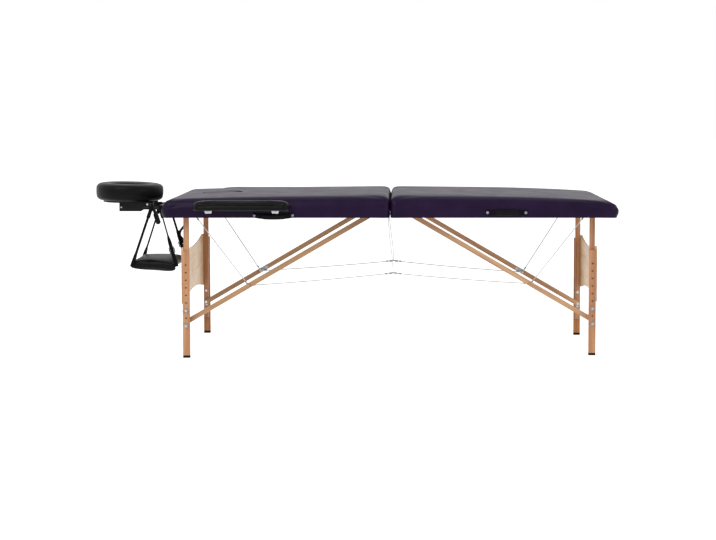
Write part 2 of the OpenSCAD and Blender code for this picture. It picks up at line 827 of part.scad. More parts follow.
// Width of the face opening
ring_hole_w = 96;
module cradle_board() {
    color("#1c1c1e") at_end("head") {
        translate([ring_x0 + ring_l / 2, 0, ring_base_h - board_t]) linear_extrude(board_t) difference() {
            oval_2d(ring_l - 2 * board_inset, ring_w - 2 * board_inset);
            stadium_2d(ring_hole_l + board_inset, ring_hole_w);
        }
        both_sides() slab_y(arm_y, arm_y + arm_t) difference() {
            union() {
                translate([tilt_x, tilt_h]) circle(r = arm_r);
                polygon([[tilt_x, tilt_h - arm_r], [tilt_x + arm_l / 4, tilt_h - arm_drop],
                    [tilt_x + arm_l, tilt_h - arm_drop], [tilt_x + arm_l, ring_base_h - board_t],
                    [tilt_x, ring_base_h - board_t]]);
            }
            translate([tilt_x, tilt_h]) circle(r = tilt_pin_r + pin_gap);
        }
    }
}

// Steps round the ring and round its section
ring_around = 44;
ring_section = 12;
// Shape of the section: one is round, less is boxier
ring_soft_share = 0.52;
// The ring's tube follows an oval. Its section is a rounded box, flat below and crowned above.
module cradle_ring() {
    inner = [ring_hole_l / 2, ring_hole_w / 2];
    outer = [ring_l / 2, ring_w / 2];
    mid = (inner + outer) / 2;
    half = (outer - inner) / 2;
    function soft(v) = sign(v) * pow(abs(v), ring_soft_share);
    pts = [for (i = [0:ring_around - 1]) let (a = 360 * i / ring_around)
        for (j = [0:ring_section - 1]) let (b = 360 * j / ring_section, u = soft(cos(b)), v = soft(sin(b)))
            [ring_x0 + ring_l / 2 + (mid[0] + half[0] * u) * cos(a), (mid[1] + half[1] * u) * sin(a),
                ring_base_h + ring_h / 2 + ring_h / 2 * v]];
    faces = [for (i = [0:ring_around - 1]) for (j = [0:ring_section - 1])
        let (k = (i + 1) % ring_around, m = (j + 1) % ring_section)
            each [[i * ring_section + j, k * ring_section + j, k * ring_section + m],
                [i * ring_section + j, k * ring_section + m, i * ring_section + m]]];
    color("#141416") at_end("head") polyhedron(points = pts, faces = faces, convexity = 8);
}

// Length of the lever
lever_l = 84;
// Width of the lever's paddle
lever_w = 19;
// Width of the lever's arm
lever_neck_w = 11;
// Where the paddle begins, along the lever
paddle_share = 0.62;
// Thickness of the lever
lever_t = 14;
// Width of the cam across the table
cam_t = 20;
// Radius of the cam
cam_r = 7;
// How far the lever's end stands off the vertical
lever_lean = 28;
module cradle_lever() {
    color("#161616") at_end("head") {
        slab_y(-lever_t / 2, lever_t / 2) difference() {
            union() {
                bar_2d([tilt_x, tilt_h], [tilt_x - lever_lean, tilt_h - lever_l], lever_neck_w);
                bar_2d([tilt_x - lever_lean * paddle_share, tilt_h - lever_l * paddle_share],
                    [tilt_x - lever_lean, tilt_h - lever_l], lever_w);
            }
            translate([tilt_x, tilt_h]) circle(r = tilt_pin_r + pin_gap);
        }
        slab_y(-cam_t / 2, cam_t / 2) difference() {
            translate([tilt_x, tilt_h]) circle(r = cam_r);
            translate([tilt_x, tilt_h]) circle(r = tilt_pin_r + pin_gap);
        }
    }
}

// Arm shelf, hung from the posts by four straps

// How far the shelf reaches in under the table's end
shelf_under = 12;
shelf_x = half_length - shelf_under;
// Radius of the shelf's corners
shelf_r = 26;
// Radius of the shelf's upper edge
shelf_edge = 12;
// How far the shelf's sides are drawn in at their foot
shelf_tuck = 6;
// Rise of the shelf's middle
shelf_crown = 6;
module arm_shelf() {
    color("#161616") at_end("head")
        pad_form(shelf_x, shelf_x + shelf_l, -shelf_w / 2, shelf_w / 2, shelf_r, shelf_r, shelf_h, shelf_t,
            shelf_edge, shelf_tuck, shelf_crown);
}

// Thickness of the webbing
webbing_t = 2;
// Distance of the first strap's top from the table's end
strap_out = 34;
// Distance between the tops of two straps on one post
strap_spacing = 50;
// Distance of the straps' feet from the shelf's ends
strap_foot_inset = 8;
strap_tops = [half_length + strap_out, half_length + strap_out + strap_spacing];
strap_feet = [shelf_x + strap_foot_inset, shelf_x + shelf_l - strap_foot_inset];
// Where the straps leave the posts and where they meet the shelf
strap_top_y = post_y + post_r + slide_gap + webbing_t / 2;
strap_foot_y = shelf_w / 2 + webbing_t;
strap_low = shelf_h + shelf_t / 3;
function strap_top(i) = [strap_tops[i], strap_top_y, post_h];
function strap_foot(i) = [strap_feet[i], strap_foot_y, strap_low];

// Each strap goes round a post and down to a corner of the shelf
module sling_straps() {
    color("#121212") at_end("head") both_sides() for (i = [0, 1]) {
        d = strap_foot(i) - strap_top(i);
        lean = cross(d, [0, 1, 0]);
        band([strap_top(i) - d / norm(d) * webbing_t, strap_foot(i)], lean / norm(lean),
            webbing_w, webbing_t);
        translate([strap_tops[i] - webbing_w / 2, post_y, post_h]) rotate([0, 90, 0]) difference() {
            cylinder(r = post_r + slide_gap + webbing_t, h = webbing_w);
            translate([0, 0, -overrun]) cylinder(r = post_r + slide_gap, h = webbing_w + 2 * overrun);
        }
    }
}

// Place of the buckle along its strap
buckle_share = 0.72;
// Length of a buckle
buckle_l = 24;
// Width of a buckle's rim
buckle_wall = 3;
// Thickness of a buckle
buckle_t = 6;
module sling_buckles() {
    color("#0c0c0c") at_end("head") both_sides() {
        d = strap_foot(0) - strap_top(0);
        spot = strap_top(0) + d * buckle_share;
        lean = cross(d, [0, 1, 0]);
        across = lean / norm(lean);
        along = d / norm(d);
        out = cross(along, across);
        multmatrix([for (i = [0:2]) [across[i], out[i], along[i], spot[i]]])
            difference() {
                cube([webbing_w + 2 * buckle_wall, buckle_t, buckle_l], center = true);
                cube([webbing_w + slide_gap, webbing_t + slide_gap, buckle_l * 2], center = true);
            }
    }
}

// Side armrests: a padded board on two bent steel tongues that go into the side rail

// Radius of an armrest's outer corners
armrest_r = 40;
// Radius of its nearly square corners
armrest_square_r = 8;
// Radius of the armrest's upper edge
armrest_edge = 9;
// Gap between the table's side and an armrest
armrest_gap = 3;
// Lean of an armrest, in degrees
armrest_lean = 4;
// Thickness of the armrest's board
board_h = 6;
armrest_y0 = table_width / 2 + armrest_gap;
// Height of the armrest pad's underside
armrest_pad_h = underside_h + armrest_rise - armrest_t;
// How far the board stays inside its pad
armrest_in = 12;
riser_y = armrest_y0 + armrest_in;

// Both armrests rise a little towards their outer edge
module leaned() {
    translate([0, riser_y, armrest_pad_h - board_h]) rotate([armrest_lean, 0, 0])
        translate([0, -riser_y, board_h - armrest_pad_h]) children();
}

// How far the armrest's sides are drawn in at their foot
armrest_tuck = 2;
// Rise of the armrest's middle
armrest_crown = 3;
module armrest(side) {
    color("#121214") at_end("head") near_or_far(side) leaned()
        pad_form(armrest_x, armrest_x + armrest_l, armrest_y0, armrest_y0 + armrest_w,
            armrest_square_r + armrest_edge,
            armrest_r, armrest_pad_h, armrest_t, armrest_edge, armrest_tuck, armrest_crown);
}

// Width of the plates that carry the board
riser_w = 28;
// Radius of their corners
riser_r = 5;
module armrest_frame(side) {
    board_z = armrest_pad_h - board_h;
    tongue_z = underside_h + tongue_rise;
    riser_low = tongue_z - tongue_t / 2;
    riser_top = board_z + tongue_t / 2;
    color("#1a1a1c") at_end("head") near_or_far(side) leaned()
        translate([0, 0, board_z]) linear_extrude(board_h)
        translate([armrest_x + armrest_l / 2, armrest_y0 + armrest_w / 2])
            rounded_2d(armrest_l - 2 * armrest_in, armrest_w - 2 * armrest_in, armrest_square_r);
    color("silver") at_end("head") near_or_far(side) for (i = [0, 1]) {
        translate([tongue_x(i) - tongue_w / 2, frame_in_y, tongue_z - tongue_t / 2])
            cube([tongue_w, riser_y + tongue_t - frame_in_y, tongue_t]);
        slab_y(riser_y, riser_y + tongue_t) translate([tongue_x(i), (riser_low + riser_top) / 2])
            rounded_2d(riser_w, riser_top - riser_low, riser_r);
        leaned() translate([tongue_x(i) - tongue_w / 2, riser_y, board_z - tongue_t])
            cube([tongue_w, armrest_w / 2, tongue_t]);
    }
}

frame("head");  // head_frame
deck("head");  // head_deck
pad("head");  // head_pad
skirt("head");  // head_skirt
frame("foot");  // foot_frame
deck("foot");  // foot_deck
pad("foot");  // foot_pad
skirt("foot");  // foot_skirt
hinge_leaves("head");  // head_hinge_leaves
hinge_leaves("foot");  // foot_hinge_leaves
hinge_pins();
handle("head", head_handle_rise, head_handle_sag);  // head_handle
handle("foot", foot_handle_rise, 0);  // foot_handle
face_hole_plug();
brackets("head");  // head_brackets
brackets("foot");  // foot_brackets
upper_legs("head");  // head_upper_legs
end_panel("head");  // head_end_panel
leg_bolts("head");  // head_leg_bolts
upper_legs("foot");  // foot_upper_legs
end_panel("foot");  // foot_end_panel
leg_bolts("foot");  // foot_leg_bolts
lower_leg("head", "near");  // head_near_lower_leg
lower_leg("head", "far");  // head_far_lower_leg
lower_leg("foot", "near");  // foot_near_lower_leg
lower_leg("foot", "far");  // foot_far_lower_leg
foot_cap("head", "near");  // head_near_foot_cap
foot_cap("head", "far");  // head_far_foot_cap
foot_cap("foot", "near");  // foot_near_foot_cap
foot_cap("foot", "far");  // foot_far_foot_cap
wing_nut("head", "near", "high");  // head_near_high_nut
wing_nut("head", "near", "low");  // head_near_low_nut
wing_nut("head", "far", "high");  // head_far_high_nut
wing_nut("head", "far", "low");  // head_far_low_nut
wing_nut("foot", "near", "high");  // foot_near_high_nut
wing_nut("foot", "near", "low");  // foot_near_low_nut
wing_nut("foot", "far", "high");  // foot_far_high_nut
wing_nut("foot", "far", "low");  // foot_far_low_nut
lower_struts("head");  // head_lower_struts
upper_struts("head");  // head_upper_struts
lower_struts("foot");  // foot_lower_struts
upper_struts("foot");  // foot_upper_struts
knee_fittings("head");  // head_knee_fittings
knee_fittings("foot");  // foot_knee_fittings
end_cables("head");  // head_end_cables
end_cables("foot");  // foot_end_cables
cross_cables("head");  // head_cross_cables
cross_cables("foot");  // foot_cross_cables
cable_hangers();
cradle_ring();
cradle_board();
cradle_base();
cradle_lever();
arm_shelf();
sling_straps();
sling_buckles();
armrest("near");  // near_armrest
armrest_frame("near");  // near_armrest_frame
armrest("far");  // far_armrest
armrest_frame("far");  // far_armrest_frame
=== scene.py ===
"""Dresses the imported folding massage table: vinyl covers, cushions, webbing, cables, wood and metal finishes."""

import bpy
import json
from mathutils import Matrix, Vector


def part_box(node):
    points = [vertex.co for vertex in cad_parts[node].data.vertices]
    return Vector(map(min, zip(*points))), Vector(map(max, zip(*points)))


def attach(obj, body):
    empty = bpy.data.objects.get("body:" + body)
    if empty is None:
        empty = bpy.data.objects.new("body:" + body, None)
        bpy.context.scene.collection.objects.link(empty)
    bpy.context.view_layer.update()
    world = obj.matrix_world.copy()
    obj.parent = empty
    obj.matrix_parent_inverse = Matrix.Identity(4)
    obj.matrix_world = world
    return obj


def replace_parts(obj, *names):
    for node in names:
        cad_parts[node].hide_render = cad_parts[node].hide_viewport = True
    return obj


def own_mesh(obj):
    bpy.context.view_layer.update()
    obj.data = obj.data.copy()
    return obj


bl_info = {
    "name": "Folding massage table",
    "version": (1, 0, 0),
    "blender": (4, 5, 0),
    "location": "View3D > Sidebar > Massage table",
    "description": "Upholsters and finishes a folding massage table around its CAD frame",
    "category": "Object",
}

import json
import math
import random

import bmesh
import bpy
import numpy as np
from mathutils import Matrix, Vector

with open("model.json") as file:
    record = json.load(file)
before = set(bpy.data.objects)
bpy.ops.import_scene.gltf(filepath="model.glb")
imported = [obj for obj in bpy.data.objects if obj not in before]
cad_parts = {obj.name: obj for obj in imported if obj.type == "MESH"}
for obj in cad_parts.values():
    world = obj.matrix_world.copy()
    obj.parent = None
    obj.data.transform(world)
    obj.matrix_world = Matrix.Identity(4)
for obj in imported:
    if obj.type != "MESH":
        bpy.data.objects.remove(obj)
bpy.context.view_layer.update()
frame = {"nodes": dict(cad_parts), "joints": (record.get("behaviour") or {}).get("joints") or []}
MM = 0.001


# Colours and nodes

def linear(colour, alpha=1.0):
    """A colour written as an sRGB hex value, as the linear values that Blender's shaders take."""
    parts = [int(colour[i:i + 2], 16) / 255 for i in (1, 3, 5)]
    return [c / 12.92 if c <= 0.04045 else ((c + 0.055) / 1.055) ** 2.4 for c in parts] + [alpha]


def add(tree, kind, inputs=None, **settings):
    """Adds a node with its settings, and links or sets its inputs."""
    made = tree.nodes.new(kind)
    for name, value in settings.items():
        setattr(made, name, value)
    for name, value in (inputs or {}).items():
        socket = made.inputs[name]
        if isinstance(value, bpy.types.NodeSocket):
            tree.links.new(value, socket)
        else:
            socket.default_value = value
    return made


def ramp(tree, factor, stops):
    """A colour ramp from (place, hex colour) pairs."""
    made = add(tree, "ShaderNodeValToRGB", {"Fac": factor})
    points = made.color_ramp.elements
    while len(points) < len(stops):
        points.new(0.5)
    for point, (place, colour) in zip(points, stops):
        point.position = place
        point.color = linear(colour)
    return made.outputs["Color"]


def surface(name, **fixed):
    """A new material with its shader. fixed holds the values that are the same all over."""
    made = bpy.data.materials.new(name)
    made.use_nodes = True
    tree = made.node_tree
    tree.nodes.clear()
    shader = add(tree, "ShaderNodeBsdfPrincipled", fixed)
    add(tree, "ShaderNodeOutputMaterial", {"Surface": shader.outputs[0]})
    place = add(tree, "ShaderNodeTexCoord").outputs["Object"]
    return made, tree, shader, place


def shape(tree, shader, height, strength, depth):
    """Bump of a real depth in metres from a height pattern."""
    bump = add(tree, "ShaderNodeBump", {"Strength": strength, "Distance": depth, "Height": height})
    tree.links.new(bump.outputs["Normal"], shader.inputs["Normal"])


def vinyl(name, dark, body, light):
    """PU-coated upholstery vinyl, embossed with a leather grain.

    A soft satin gloss over a fine pebble, which breaks up the highlight. The real grain is about 0.8 mm across.
    It is drawn at 1.6 mm, so that it still shows from a step away.
    """
    made, tree, shader, place = surface(name, **{"IOR": 1.45, "Specular IOR Level": 0.11})
    grain = add(tree, "ShaderNodeTexVoronoi", {"Vector": place, "Scale": 1 / 0.0016}, feature="DISTANCE_TO_EDGE")
    fine = add(tree, "ShaderNodeTexNoise", {"Vector": place, "Scale": 1 / 0.0007, "Detail": 2.0})
    broad = add(tree, "ShaderNodeTexNoise", {"Vector": place, "Scale": 1 / 0.11, "Detail": 3.0, "Roughness": 0.55})
    tree.links.new(ramp(tree, broad.outputs["Fac"], [(0.3, dark), (0.5, body), (0.72, light)]),
                   shader.inputs["Base Color"])
    gloss = add(tree, "ShaderNodeMapRange", {"Value": broad.outputs["Fac"], "From Min": 0.3, "From Max": 0.7,
                                             "To Min": 0.34, "To Max": 0.42})
    tree.links.new(gloss.outputs["Result"], shader.inputs["Roughness"])
    pits = add(tree, "ShaderNodeMapRange", {"Value": grain.outputs["Distance"], "From Min": 0.0, "From Max": 0.28})
    both = add(tree, "ShaderNodeMath", {0: fine.outputs["Fac"], 1: 0.25, 2: pits.outputs["Result"]},
               operation="MULTIPLY_ADD")
    shape(tree, shader, both.outputs["Value"], 0.35, 0.00012)
    return made


def wood(name, turn, dark, body, light, flecks=0.55, gloss=0.42, rings=1.0):
    """Steamed beech under clear lacquer. turn takes the object's axes to a grain that runs along x.

    Straight close grain, with the short dark ray flecks that tell beech from other pale woods. The flecks are
    about 3 mm long on the real wood and are drawn at 6 mm, so that they show.
    """
    made, tree, shader, place = surface(name, **{"IOR": 1.5, "Coat Weight": 0.12, "Coat Roughness": 0.3})
    along = add(tree, "ShaderNodeMapping", {"Vector": place, "Rotation": turn}).outputs["Vector"]
    long_ = add(tree, "ShaderNodeMapping", {"Vector": along, "Scale": (1.6, 26.0, 26.0)}).outputs["Vector"]
    warp = add(tree, "ShaderNodeTexNoise", {"Vector": long_, "Scale": 1.6, "Detail": 4.0, "Roughness": 0.6,
                                            "Distortion": 0.4})
    fibre = add(tree, "ShaderNodeMapping", {"Vector": along, "Scale": (18.0, 900.0, 900.0)}).outputs["Vector"]
    threads = add(tree, "ShaderNodeTexNoise", {"Vector": fibre, "Scale": 1.0, "Detail": 3.0, "Roughness": 0.7})
    mixed = add(tree, "ShaderNodeMath", {0: threads.outputs["Fac"], 1: 0.22 * rings, 2: warp.outputs["Fac"]},
                operation="MULTIPLY_ADD")
    tone = ramp(tree, mixed.outputs["Value"], [(0.36, dark), (0.58, body), (0.82, light)])
    rays = add(tree, "ShaderNodeMapping", {"Vector": along, "Scale": (160.0, 950.0, 950.0)}).outputs["Vector"]
    spots = add(tree, "ShaderNodeTexVoronoi", {"Vector": rays, "Scale": 1.0, "Randomness": 1.0})
    fleck = add(tree, "ShaderNodeMapRange", {"Value": spots.outputs["Distance"], "From Min": 0.16, "From Max": 0.34,
                                             "To Min": flecks, "To Max": 0.0})
    final = add(tree, "ShaderNodeMix", {0: fleck.outputs["Result"], 6: tone, 7: linear(dark)}, data_type="RGBA")
    tree.links.new(final.outputs[2], shader.inputs["Base Color"])
    rough = add(tree, "ShaderNodeMapRange", {"Value": threads.outputs["Fac"], "To Min": gloss - 0.06,
                                             "To Max": gloss + 0.1})
    tree.links.new(rough.outputs["Result"], shader.inputs["Roughness"])
    shape(tree, shader, threads.outputs["Fac"], 0.25, 0.00008)
    return made


def plated(name, colour, shade, roughness=0.32):
    """Bright zinc plate on pressed steel: a cool grey metal with a faint spangle and light handling marks."""
    made, tree, shader, place = surface(name, **{"Metallic": 1.0})
    spangle = add(tree, "ShaderNodeTexVoronoi", {"Vector": place, "Scale": 1 / 0.004})
    cloud = add(tree, "ShaderNodeTexNoise", {"Vector": place, "Scale": 1 / 0.012, "Detail": 3.0})
    mixed = add(tree, "ShaderNodeMath", {0: spangle.outputs["Distance"], 1: 0.35, 2: cloud.outputs["Fac"]},
                operation="MULTIPLY_ADD")
    tree.links.new(ramp(tree, mixed.outputs["Value"], [(0.35, shade), (0.75, colour)]), shader.inputs["Base Color"])
    rough = add(tree, "ShaderNodeMapRange", {"Value": cloud.outputs["Fac"], "To Min": roughness - 0.08,
                                             "To Max": roughness + 0.12})
    tree.links.new(rough.outputs["Result"], shader.inputs["Roughness"])
    shape(tree, shader, cloud.outputs["Fac"], 0.15, 0.00004)
    return made


def enamel(name, colour, worn, roughness=0.42, grit=0.0009):
    """Stoved black enamel or moulded nylon: an even satin skin with a faint orange peel."""
    made, tree, shader, place = surface(name, **{"IOR": 1.45, "Specular IOR Level": 0.16})
    peel = add(tree, "ShaderNodeTexNoise", {"Vector": place, "Scale": 1 / grit, "Detail": 2.0})
    broad = add(tree, "ShaderNodeTexNoise", {"Vector": place, "Scale": 1 / 0.03, "Detail": 3.0})
    tree.links.new(ramp(tree, broad.outputs["Fac"], [(0.35, colour), (0.75, worn)]), shader.inputs["Base Color"])
    rough = add(tree, "ShaderNodeMapRange", {"Value": broad.outputs["Fac"], "To Min": roughness - 0.06,
                                             "To Max": roughness + 0.1})
    tree.links.new(rough.outputs["Result"], shader.inputs["Roughness"])
    shape(tree, shader, peel.outputs["Fac"], 0.2, 0.00006)
    return made


def webbing(name, colour, light, pitch=0.0022):
    """Flat woven polypropylene webbing: a dull weave with ribs across its width, read from the strap's own map.

    The map runs in metres: u along the strap and v across it. The real ribs are about 1.2 mm apart.
    """
    made, tree, shader, _ = surface(name, **{"IOR": 1.4, "Specular IOR Level": 0.08})
    flat = add(tree, "ShaderNodeUVMap", uv_map="strap").outputs["UV"]
    split = add(tree, "ShaderNodeSeparateXYZ", {"Vector": flat})

    def wave(source, step, offset=0.0):
        turned = add(tree, "ShaderNodeMath", {0: source, 1: 2 * math.pi / step, 2: offset}, operation="MULTIPLY_ADD")
        return add(tree, "ShaderNodeMath", {0: turned.outputs[0]}, operation="SINE").outputs[0]

    weave = add(tree, "ShaderNodeMath", {0: wave(split.outputs["X"], pitch), 1: wave(split.outputs["Y"], pitch)},
                operation="MULTIPLY")
    tone = add(tree, "ShaderNodeMapRange", {"Value": weave.outputs[0], "From Min": -1.0})
    tree.links.new(ramp(tree, tone.outputs["Result"], [(0.2, colour), (0.9, light)]), shader.inputs["Base Color"])
    shader.inputs["Roughness"].default_value = 0.72
    shape(tree, shader, tone.outputs["Result"], 0.6, 0.0003)
    return made


def armrest_metal(name):
    """Black-painted plywood board over bright zinc tongues: the two meet at a height on the leaned board."""
    made, tree, shader, place = surface(name, **{"IOR": 1.45, "Specular IOR Level": 0.16})
    split = add(tree, "ShaderNodeSeparateXYZ", {"Vector": place})
    cloud = add(tree, "ShaderNodeTexNoise", {"Vector": place, "Scale": 1 / 0.012, "Detail": 3.0})
    aside = add(tree, "ShaderNodeMath", {0: split.outputs["Y"]}, operation="ABSOLUTE")
    lean = math.tan(math.radians(ARMREST_LEAN))
    board = add(tree, "ShaderNodeMath", {0: aside.outputs[0], 1: -lean, 2: split.outputs["Z"]},
                operation="MULTIPLY_ADD")
    edge = ARMREST_BOARD_LOW - RISER_Y * lean
    metal = add(tree, "ShaderNodeMath", {0: board.outputs[0], 1: edge - 0.0003}, operation="LESS_THAN")
    steel = ramp(tree, cloud.outputs["Fac"], [(0.35, "#a9acb0"), (0.75, "#d3d5d8")])
    paint = ramp(tree, cloud.outputs["Fac"], [(0.35, "#0a0a0b"), (0.75, "#151517")])
    tone = add(tree, "ShaderNodeMix", {0: metal.outputs[0], 6: paint, 7: steel}, data_type="RGBA")
    tree.links.new(tone.outputs[2], shader.inputs["Base Color"])
    tree.links.new(metal.outputs[0], shader.inputs["Metallic"])
    rough = add(tree, "ShaderNodeMapRange", {"Value": cloud.outputs["Fac"], "To Min": 0.26, "To Max": 0.42})
    tree.links.new(rough.outputs["Result"], shader.inputs["Roughness"])
    shape(tree, shader, cloud.outputs["Fac"], 0.15, 0.00004)
    return made


def stranded(name):
    """Galvanised steel wire rope, laid from twisted strands. Its map runs along the rope and round it."""
    made, tree, shader, _ = surface(name, **{"Metallic": 1.0, "Roughness": 0.38})
    flat = add(tree, "ShaderNodeUVMap", uv_map="strap").outputs["UV"]
    split = add(tree, "ShaderNodeSeparateXYZ", {"Vector": flat})
    lay = add(tree, "ShaderNodeMath", {0: split.outputs["X"], 1: 2 * math.pi / 0.006}, operation="MULTIPLY")
    turned = add(tree, "ShaderNodeMath", {0: split.outputs["Y"], 1: 2 * math.pi * 3, 2: lay.outputs[0]},
                 operation="MULTIPLY_ADD")
    wave = add(tree, "ShaderNodeMath", {0: turned.outputs[0]}, operation="SINE")
    tone = add(tree, "ShaderNodeMapRange", {"Value": wave.outputs[0], "From Min": -1.0})
    tree.links.new(ramp(tree, tone.outputs["Result"], [(0.0, "#8f9295"), (0.6, "#c6c8ca")]),
                   shader.inputs["Base Color"])
    shape(tree, shader, tone.outputs["Result"], 0.8, 0.0003)
    return made


def plywood(name, face_dark, face, face_light, thick_axis, grain_turn, low, ply):
    """Rotary-cut plywood: a pale face with broad grain, and dark and light plies on its edges.

    thick_axis is the axis through the sheet, low its lower face on that axis, and ply the thickness of one ply.
    """
    made, tree, shader, place = surface(name, **{"IOR": 1.5, "Coat Weight": 0.08, "Coat Roughness": 0.35})
    along = add(tree, "ShaderNodeMapping", {"Vector": place, "Rotation": grain_turn}).outputs["Vector"]
    wide = add(tree, "ShaderNodeMapping", {"Vector": along, "Scale": (2.4, 15.0, 15.0)}).outputs["Vector"]
    figure = add(tree, "ShaderNodeTexNoise", {"Vector": wide, "Scale": 1.5, "Detail": 5.0, "Roughness": 0.6,
                                              "Distortion": 0.9})
    fibre = add(tree, "ShaderNodeMapping", {"Vector": along, "Scale": (22.0, 700.0, 700.0)}).outputs["Vector"]
    threads = add(tree, "ShaderNodeTexNoise", {"Vector": fibre, "Scale": 1.0, "Detail": 2.0})
    mixed = add(tree, "ShaderNodeMath", {0: threads.outputs["Fac"], 1: 0.15, 2: figure.outputs["Fac"]},
                operation="MULTIPLY_ADD")
    tone = ramp(tree, mixed.outputs["Value"], [(0.36, face_dark), (0.56, face), (0.78, face_light)])
    split = add(tree, "ShaderNodeSeparateXYZ", {"Vector": place}).outputs[thick_axis]
    depth = add(tree, "ShaderNodeMath", {0: split, 1: low}, operation="SUBTRACT")
    band = add(tree, "ShaderNodeMath", {0: depth.outputs[0], 1: 2 * ply}, operation="PINGPONG")
    layer = add(tree, "ShaderNodeMapRange", {"Value": band.outputs[0], "From Min": ply * 0.8, "From Max": ply * 1.2})
    normal = add(tree, "ShaderNodeNewGeometry").outputs["True Normal"]
    facing = add(tree, "ShaderNodeSeparateXYZ", {"Vector": normal}).outputs[thick_axis]
    side_on = add(tree, "ShaderNodeMath", {0: facing}, operation="ABSOLUTE")
    edge = add(tree, "ShaderNodeMath", {0: side_on.outputs[0], 1: 0.5}, operation="LESS_THAN")
    both = add(tree, "ShaderNodeMath", {0: edge.outputs[0], 1: layer.outputs["Result"]}, operation="MULTIPLY")
    final = add(tree, "ShaderNodeMix", {0: both.outputs[0], 6: tone, 7: linear("#9a7148")}, data_type="RGBA")
    tree.links.new(final.outputs[2], shader.inputs["Base Color"])
    shader.inputs["Roughness"].default_value = 0.45
    shape(tree, shader, threads.outputs["Fac"], 0.2, 0.00006)
    return made


# Meshes

def put(name, mesh, body, material, smooth=True):
    """Makes an object of a mesh whose place is already in its points, and lets it move with a CAD body."""
    made = bpy.data.objects.new(name, mesh)
    bpy.context.scene.collection.objects.link(made)
    mesh.materials.clear()
    mesh.materials.append(bpy.data.materials[material])
    mesh.polygons.foreach_set("use_smooth", [smooth] * len(mesh.polygons))
    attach(made, body)
    return made


def to_mesh(name, points, faces):
    mesh = bpy.data.meshes.new(name)
    mesh.from_pydata([tuple(p) for p in points], [], faces)
    mesh.update()
    return mesh


def plan(x0, x1, y0, y1, r0, r1, inset, steps=10):
    """Points round a rectangle with radius r0 at its low x corners and r1 at its high x corners."""
    corners = [(x1 - r1, y1 - r1, r1, 0), (x0 + r0, y1 - r0, r0, 90), (x0 + r0, y0 + r0, r0, 180),
               (x1 - r1, y0 + r1, r1, 270)]
    points = []
    for cx, cy, r, start in corners:
        for i in range(steps + 1):
            a = math.radians(start + 90 * i / steps)
            points.append((cx + (r - inset) * math.cos(a), cy + (r - inset) * math.sin(a)))
    return points


def stacked(name, levels, outline):
    """A closed form from (height, inset) levels, each the outline drawn at that inset."""
    points, faces = [], []
    n = len(outline(0))
    for z, inset in levels:
        points += [(x, y, z) for x, y in outline(inset)]
    for j in range(len(levels) - 1):
        for i in range(n):
            k = (i + 1) % n
            faces.append((j * n + i, j * n + k, (j + 1) * n + k, (j + 1) * n + i))
    faces.append(tuple(range(n - 1, -1, -1)))
    faces.append(tuple((len(levels) - 1) * n + i for i in range(n)))
    return to_mesh(name, points, faces)


def remesh(mesh, voxel):
    """The mesh drawn again as even quads."""
    scratch = bpy.data.objects.new("scratch", mesh)
    bpy.context.scene.collection.objects.link(scratch)
    change = scratch.modifiers.new("voxels", "REMESH")
    change.mode = "VOXEL"
    change.voxel_size = voxel
    change.use_smooth_shade = True
    return baked(scratch)


def baked(scratch):
    """The evaluated mesh of a scratch object, which is then removed."""
    bpy.context.view_layer.update()
    graph = bpy.context.evaluated_depsgraph_get()
    made = bpy.data.meshes.new_from_object(scratch.evaluated_get(graph))
    bpy.data.objects.remove(scratch)
    return made


def smoothed(mesh, rounds, factor=0.5):
    scratch = bpy.data.objects.new("scratch", mesh)
    bpy.context.scene.collection.objects.link(scratch)
    change = scratch.modifiers.new("smooth", "SMOOTH")
    change.iterations = rounds
    change.factor = factor
    return baked(scratch)


def divided(mesh, levels=1):
    scratch = bpy.data.objects.new("scratch", mesh)
    bpy.context.scene.collection.objects.link(scratch)
    change = scratch.modifiers.new("divide", "SUBSURF")
    change.levels = change.render_levels = levels
    return baked(scratch)


def cut(mesh, tool):
    """The mesh with the tool mesh taken out of it."""
    scratch = bpy.data.objects.new("scratch", mesh)
    knife = bpy.data.objects.new("knife", tool)
    for each in (scratch, knife):
        bpy.context.scene.collection.objects.link(each)
    change = scratch.modifiers.new("cut", "BOOLEAN")
    change.object = knife
    change.operation = "DIFFERENCE"
    change.solver = "EXACT"
    made = baked(scratch)
    bpy.data.objects.remove(knife)
    return made


def inflated(mesh, cap, pressure=4.0, held=None, frames=16, shrink=0.0):
    """Blows a cushion up as cloth, and lets no point move more than cap. held says which points stay."""
    rest = np.array([v.co for v in mesh.vertices], float)
    scratch = bpy.data.objects.new("scratch", mesh)
    bpy.context.scene.collection.objects.link(scratch)
    cloth = scratch.modifiers.new("cloth", "CLOTH")
    cloth.settings.quality = 5
    cloth.settings.mass = 0.3
    cloth.settings.tension_stiffness = cloth.settings.compression_stiffness = 25
    cloth.settings.shear_stiffness = 12
    cloth.settings.bending_stiffness = 1.2
    cloth.settings.use_pressure = True
    cloth.settings.uniform_pressure_force = pressure
    cloth.settings.shrink_min = shrink
    cloth.settings.effector_weights.gravity = 0
    cloth.collision_settings.use_collision = False
    cloth.point_cache.frame_start = 1
    cloth.point_cache.frame_end = frames
    if held is not None:
        pins = scratch.vertex_groups.new(name="held")
        pins.add([i for i, p in enumerate(rest) if held(p)], 1.0, "REPLACE")
        cloth.settings.vertex_group_mass = "held"
    for f in range(1, frames + 1):
        bpy.context.scene.frame_set(f)
    made = baked(scratch)
    bpy.context.scene.frame_set(1)
    after = np.array([v.co for v in made.vertices], float)
    moved = after - rest
    far = np.linalg.norm(moved, axis=1, keepdims=True)
    # Points keep their share of the move up to the cap, then level off towards it
    scale = np.where(far > 1e-9, cap * np.tanh(far / cap) / np.maximum(far, 1e-9), 0)
    made.vertices.foreach_set("co", (rest + moved * scale).ravel())
    made.update()
    return made


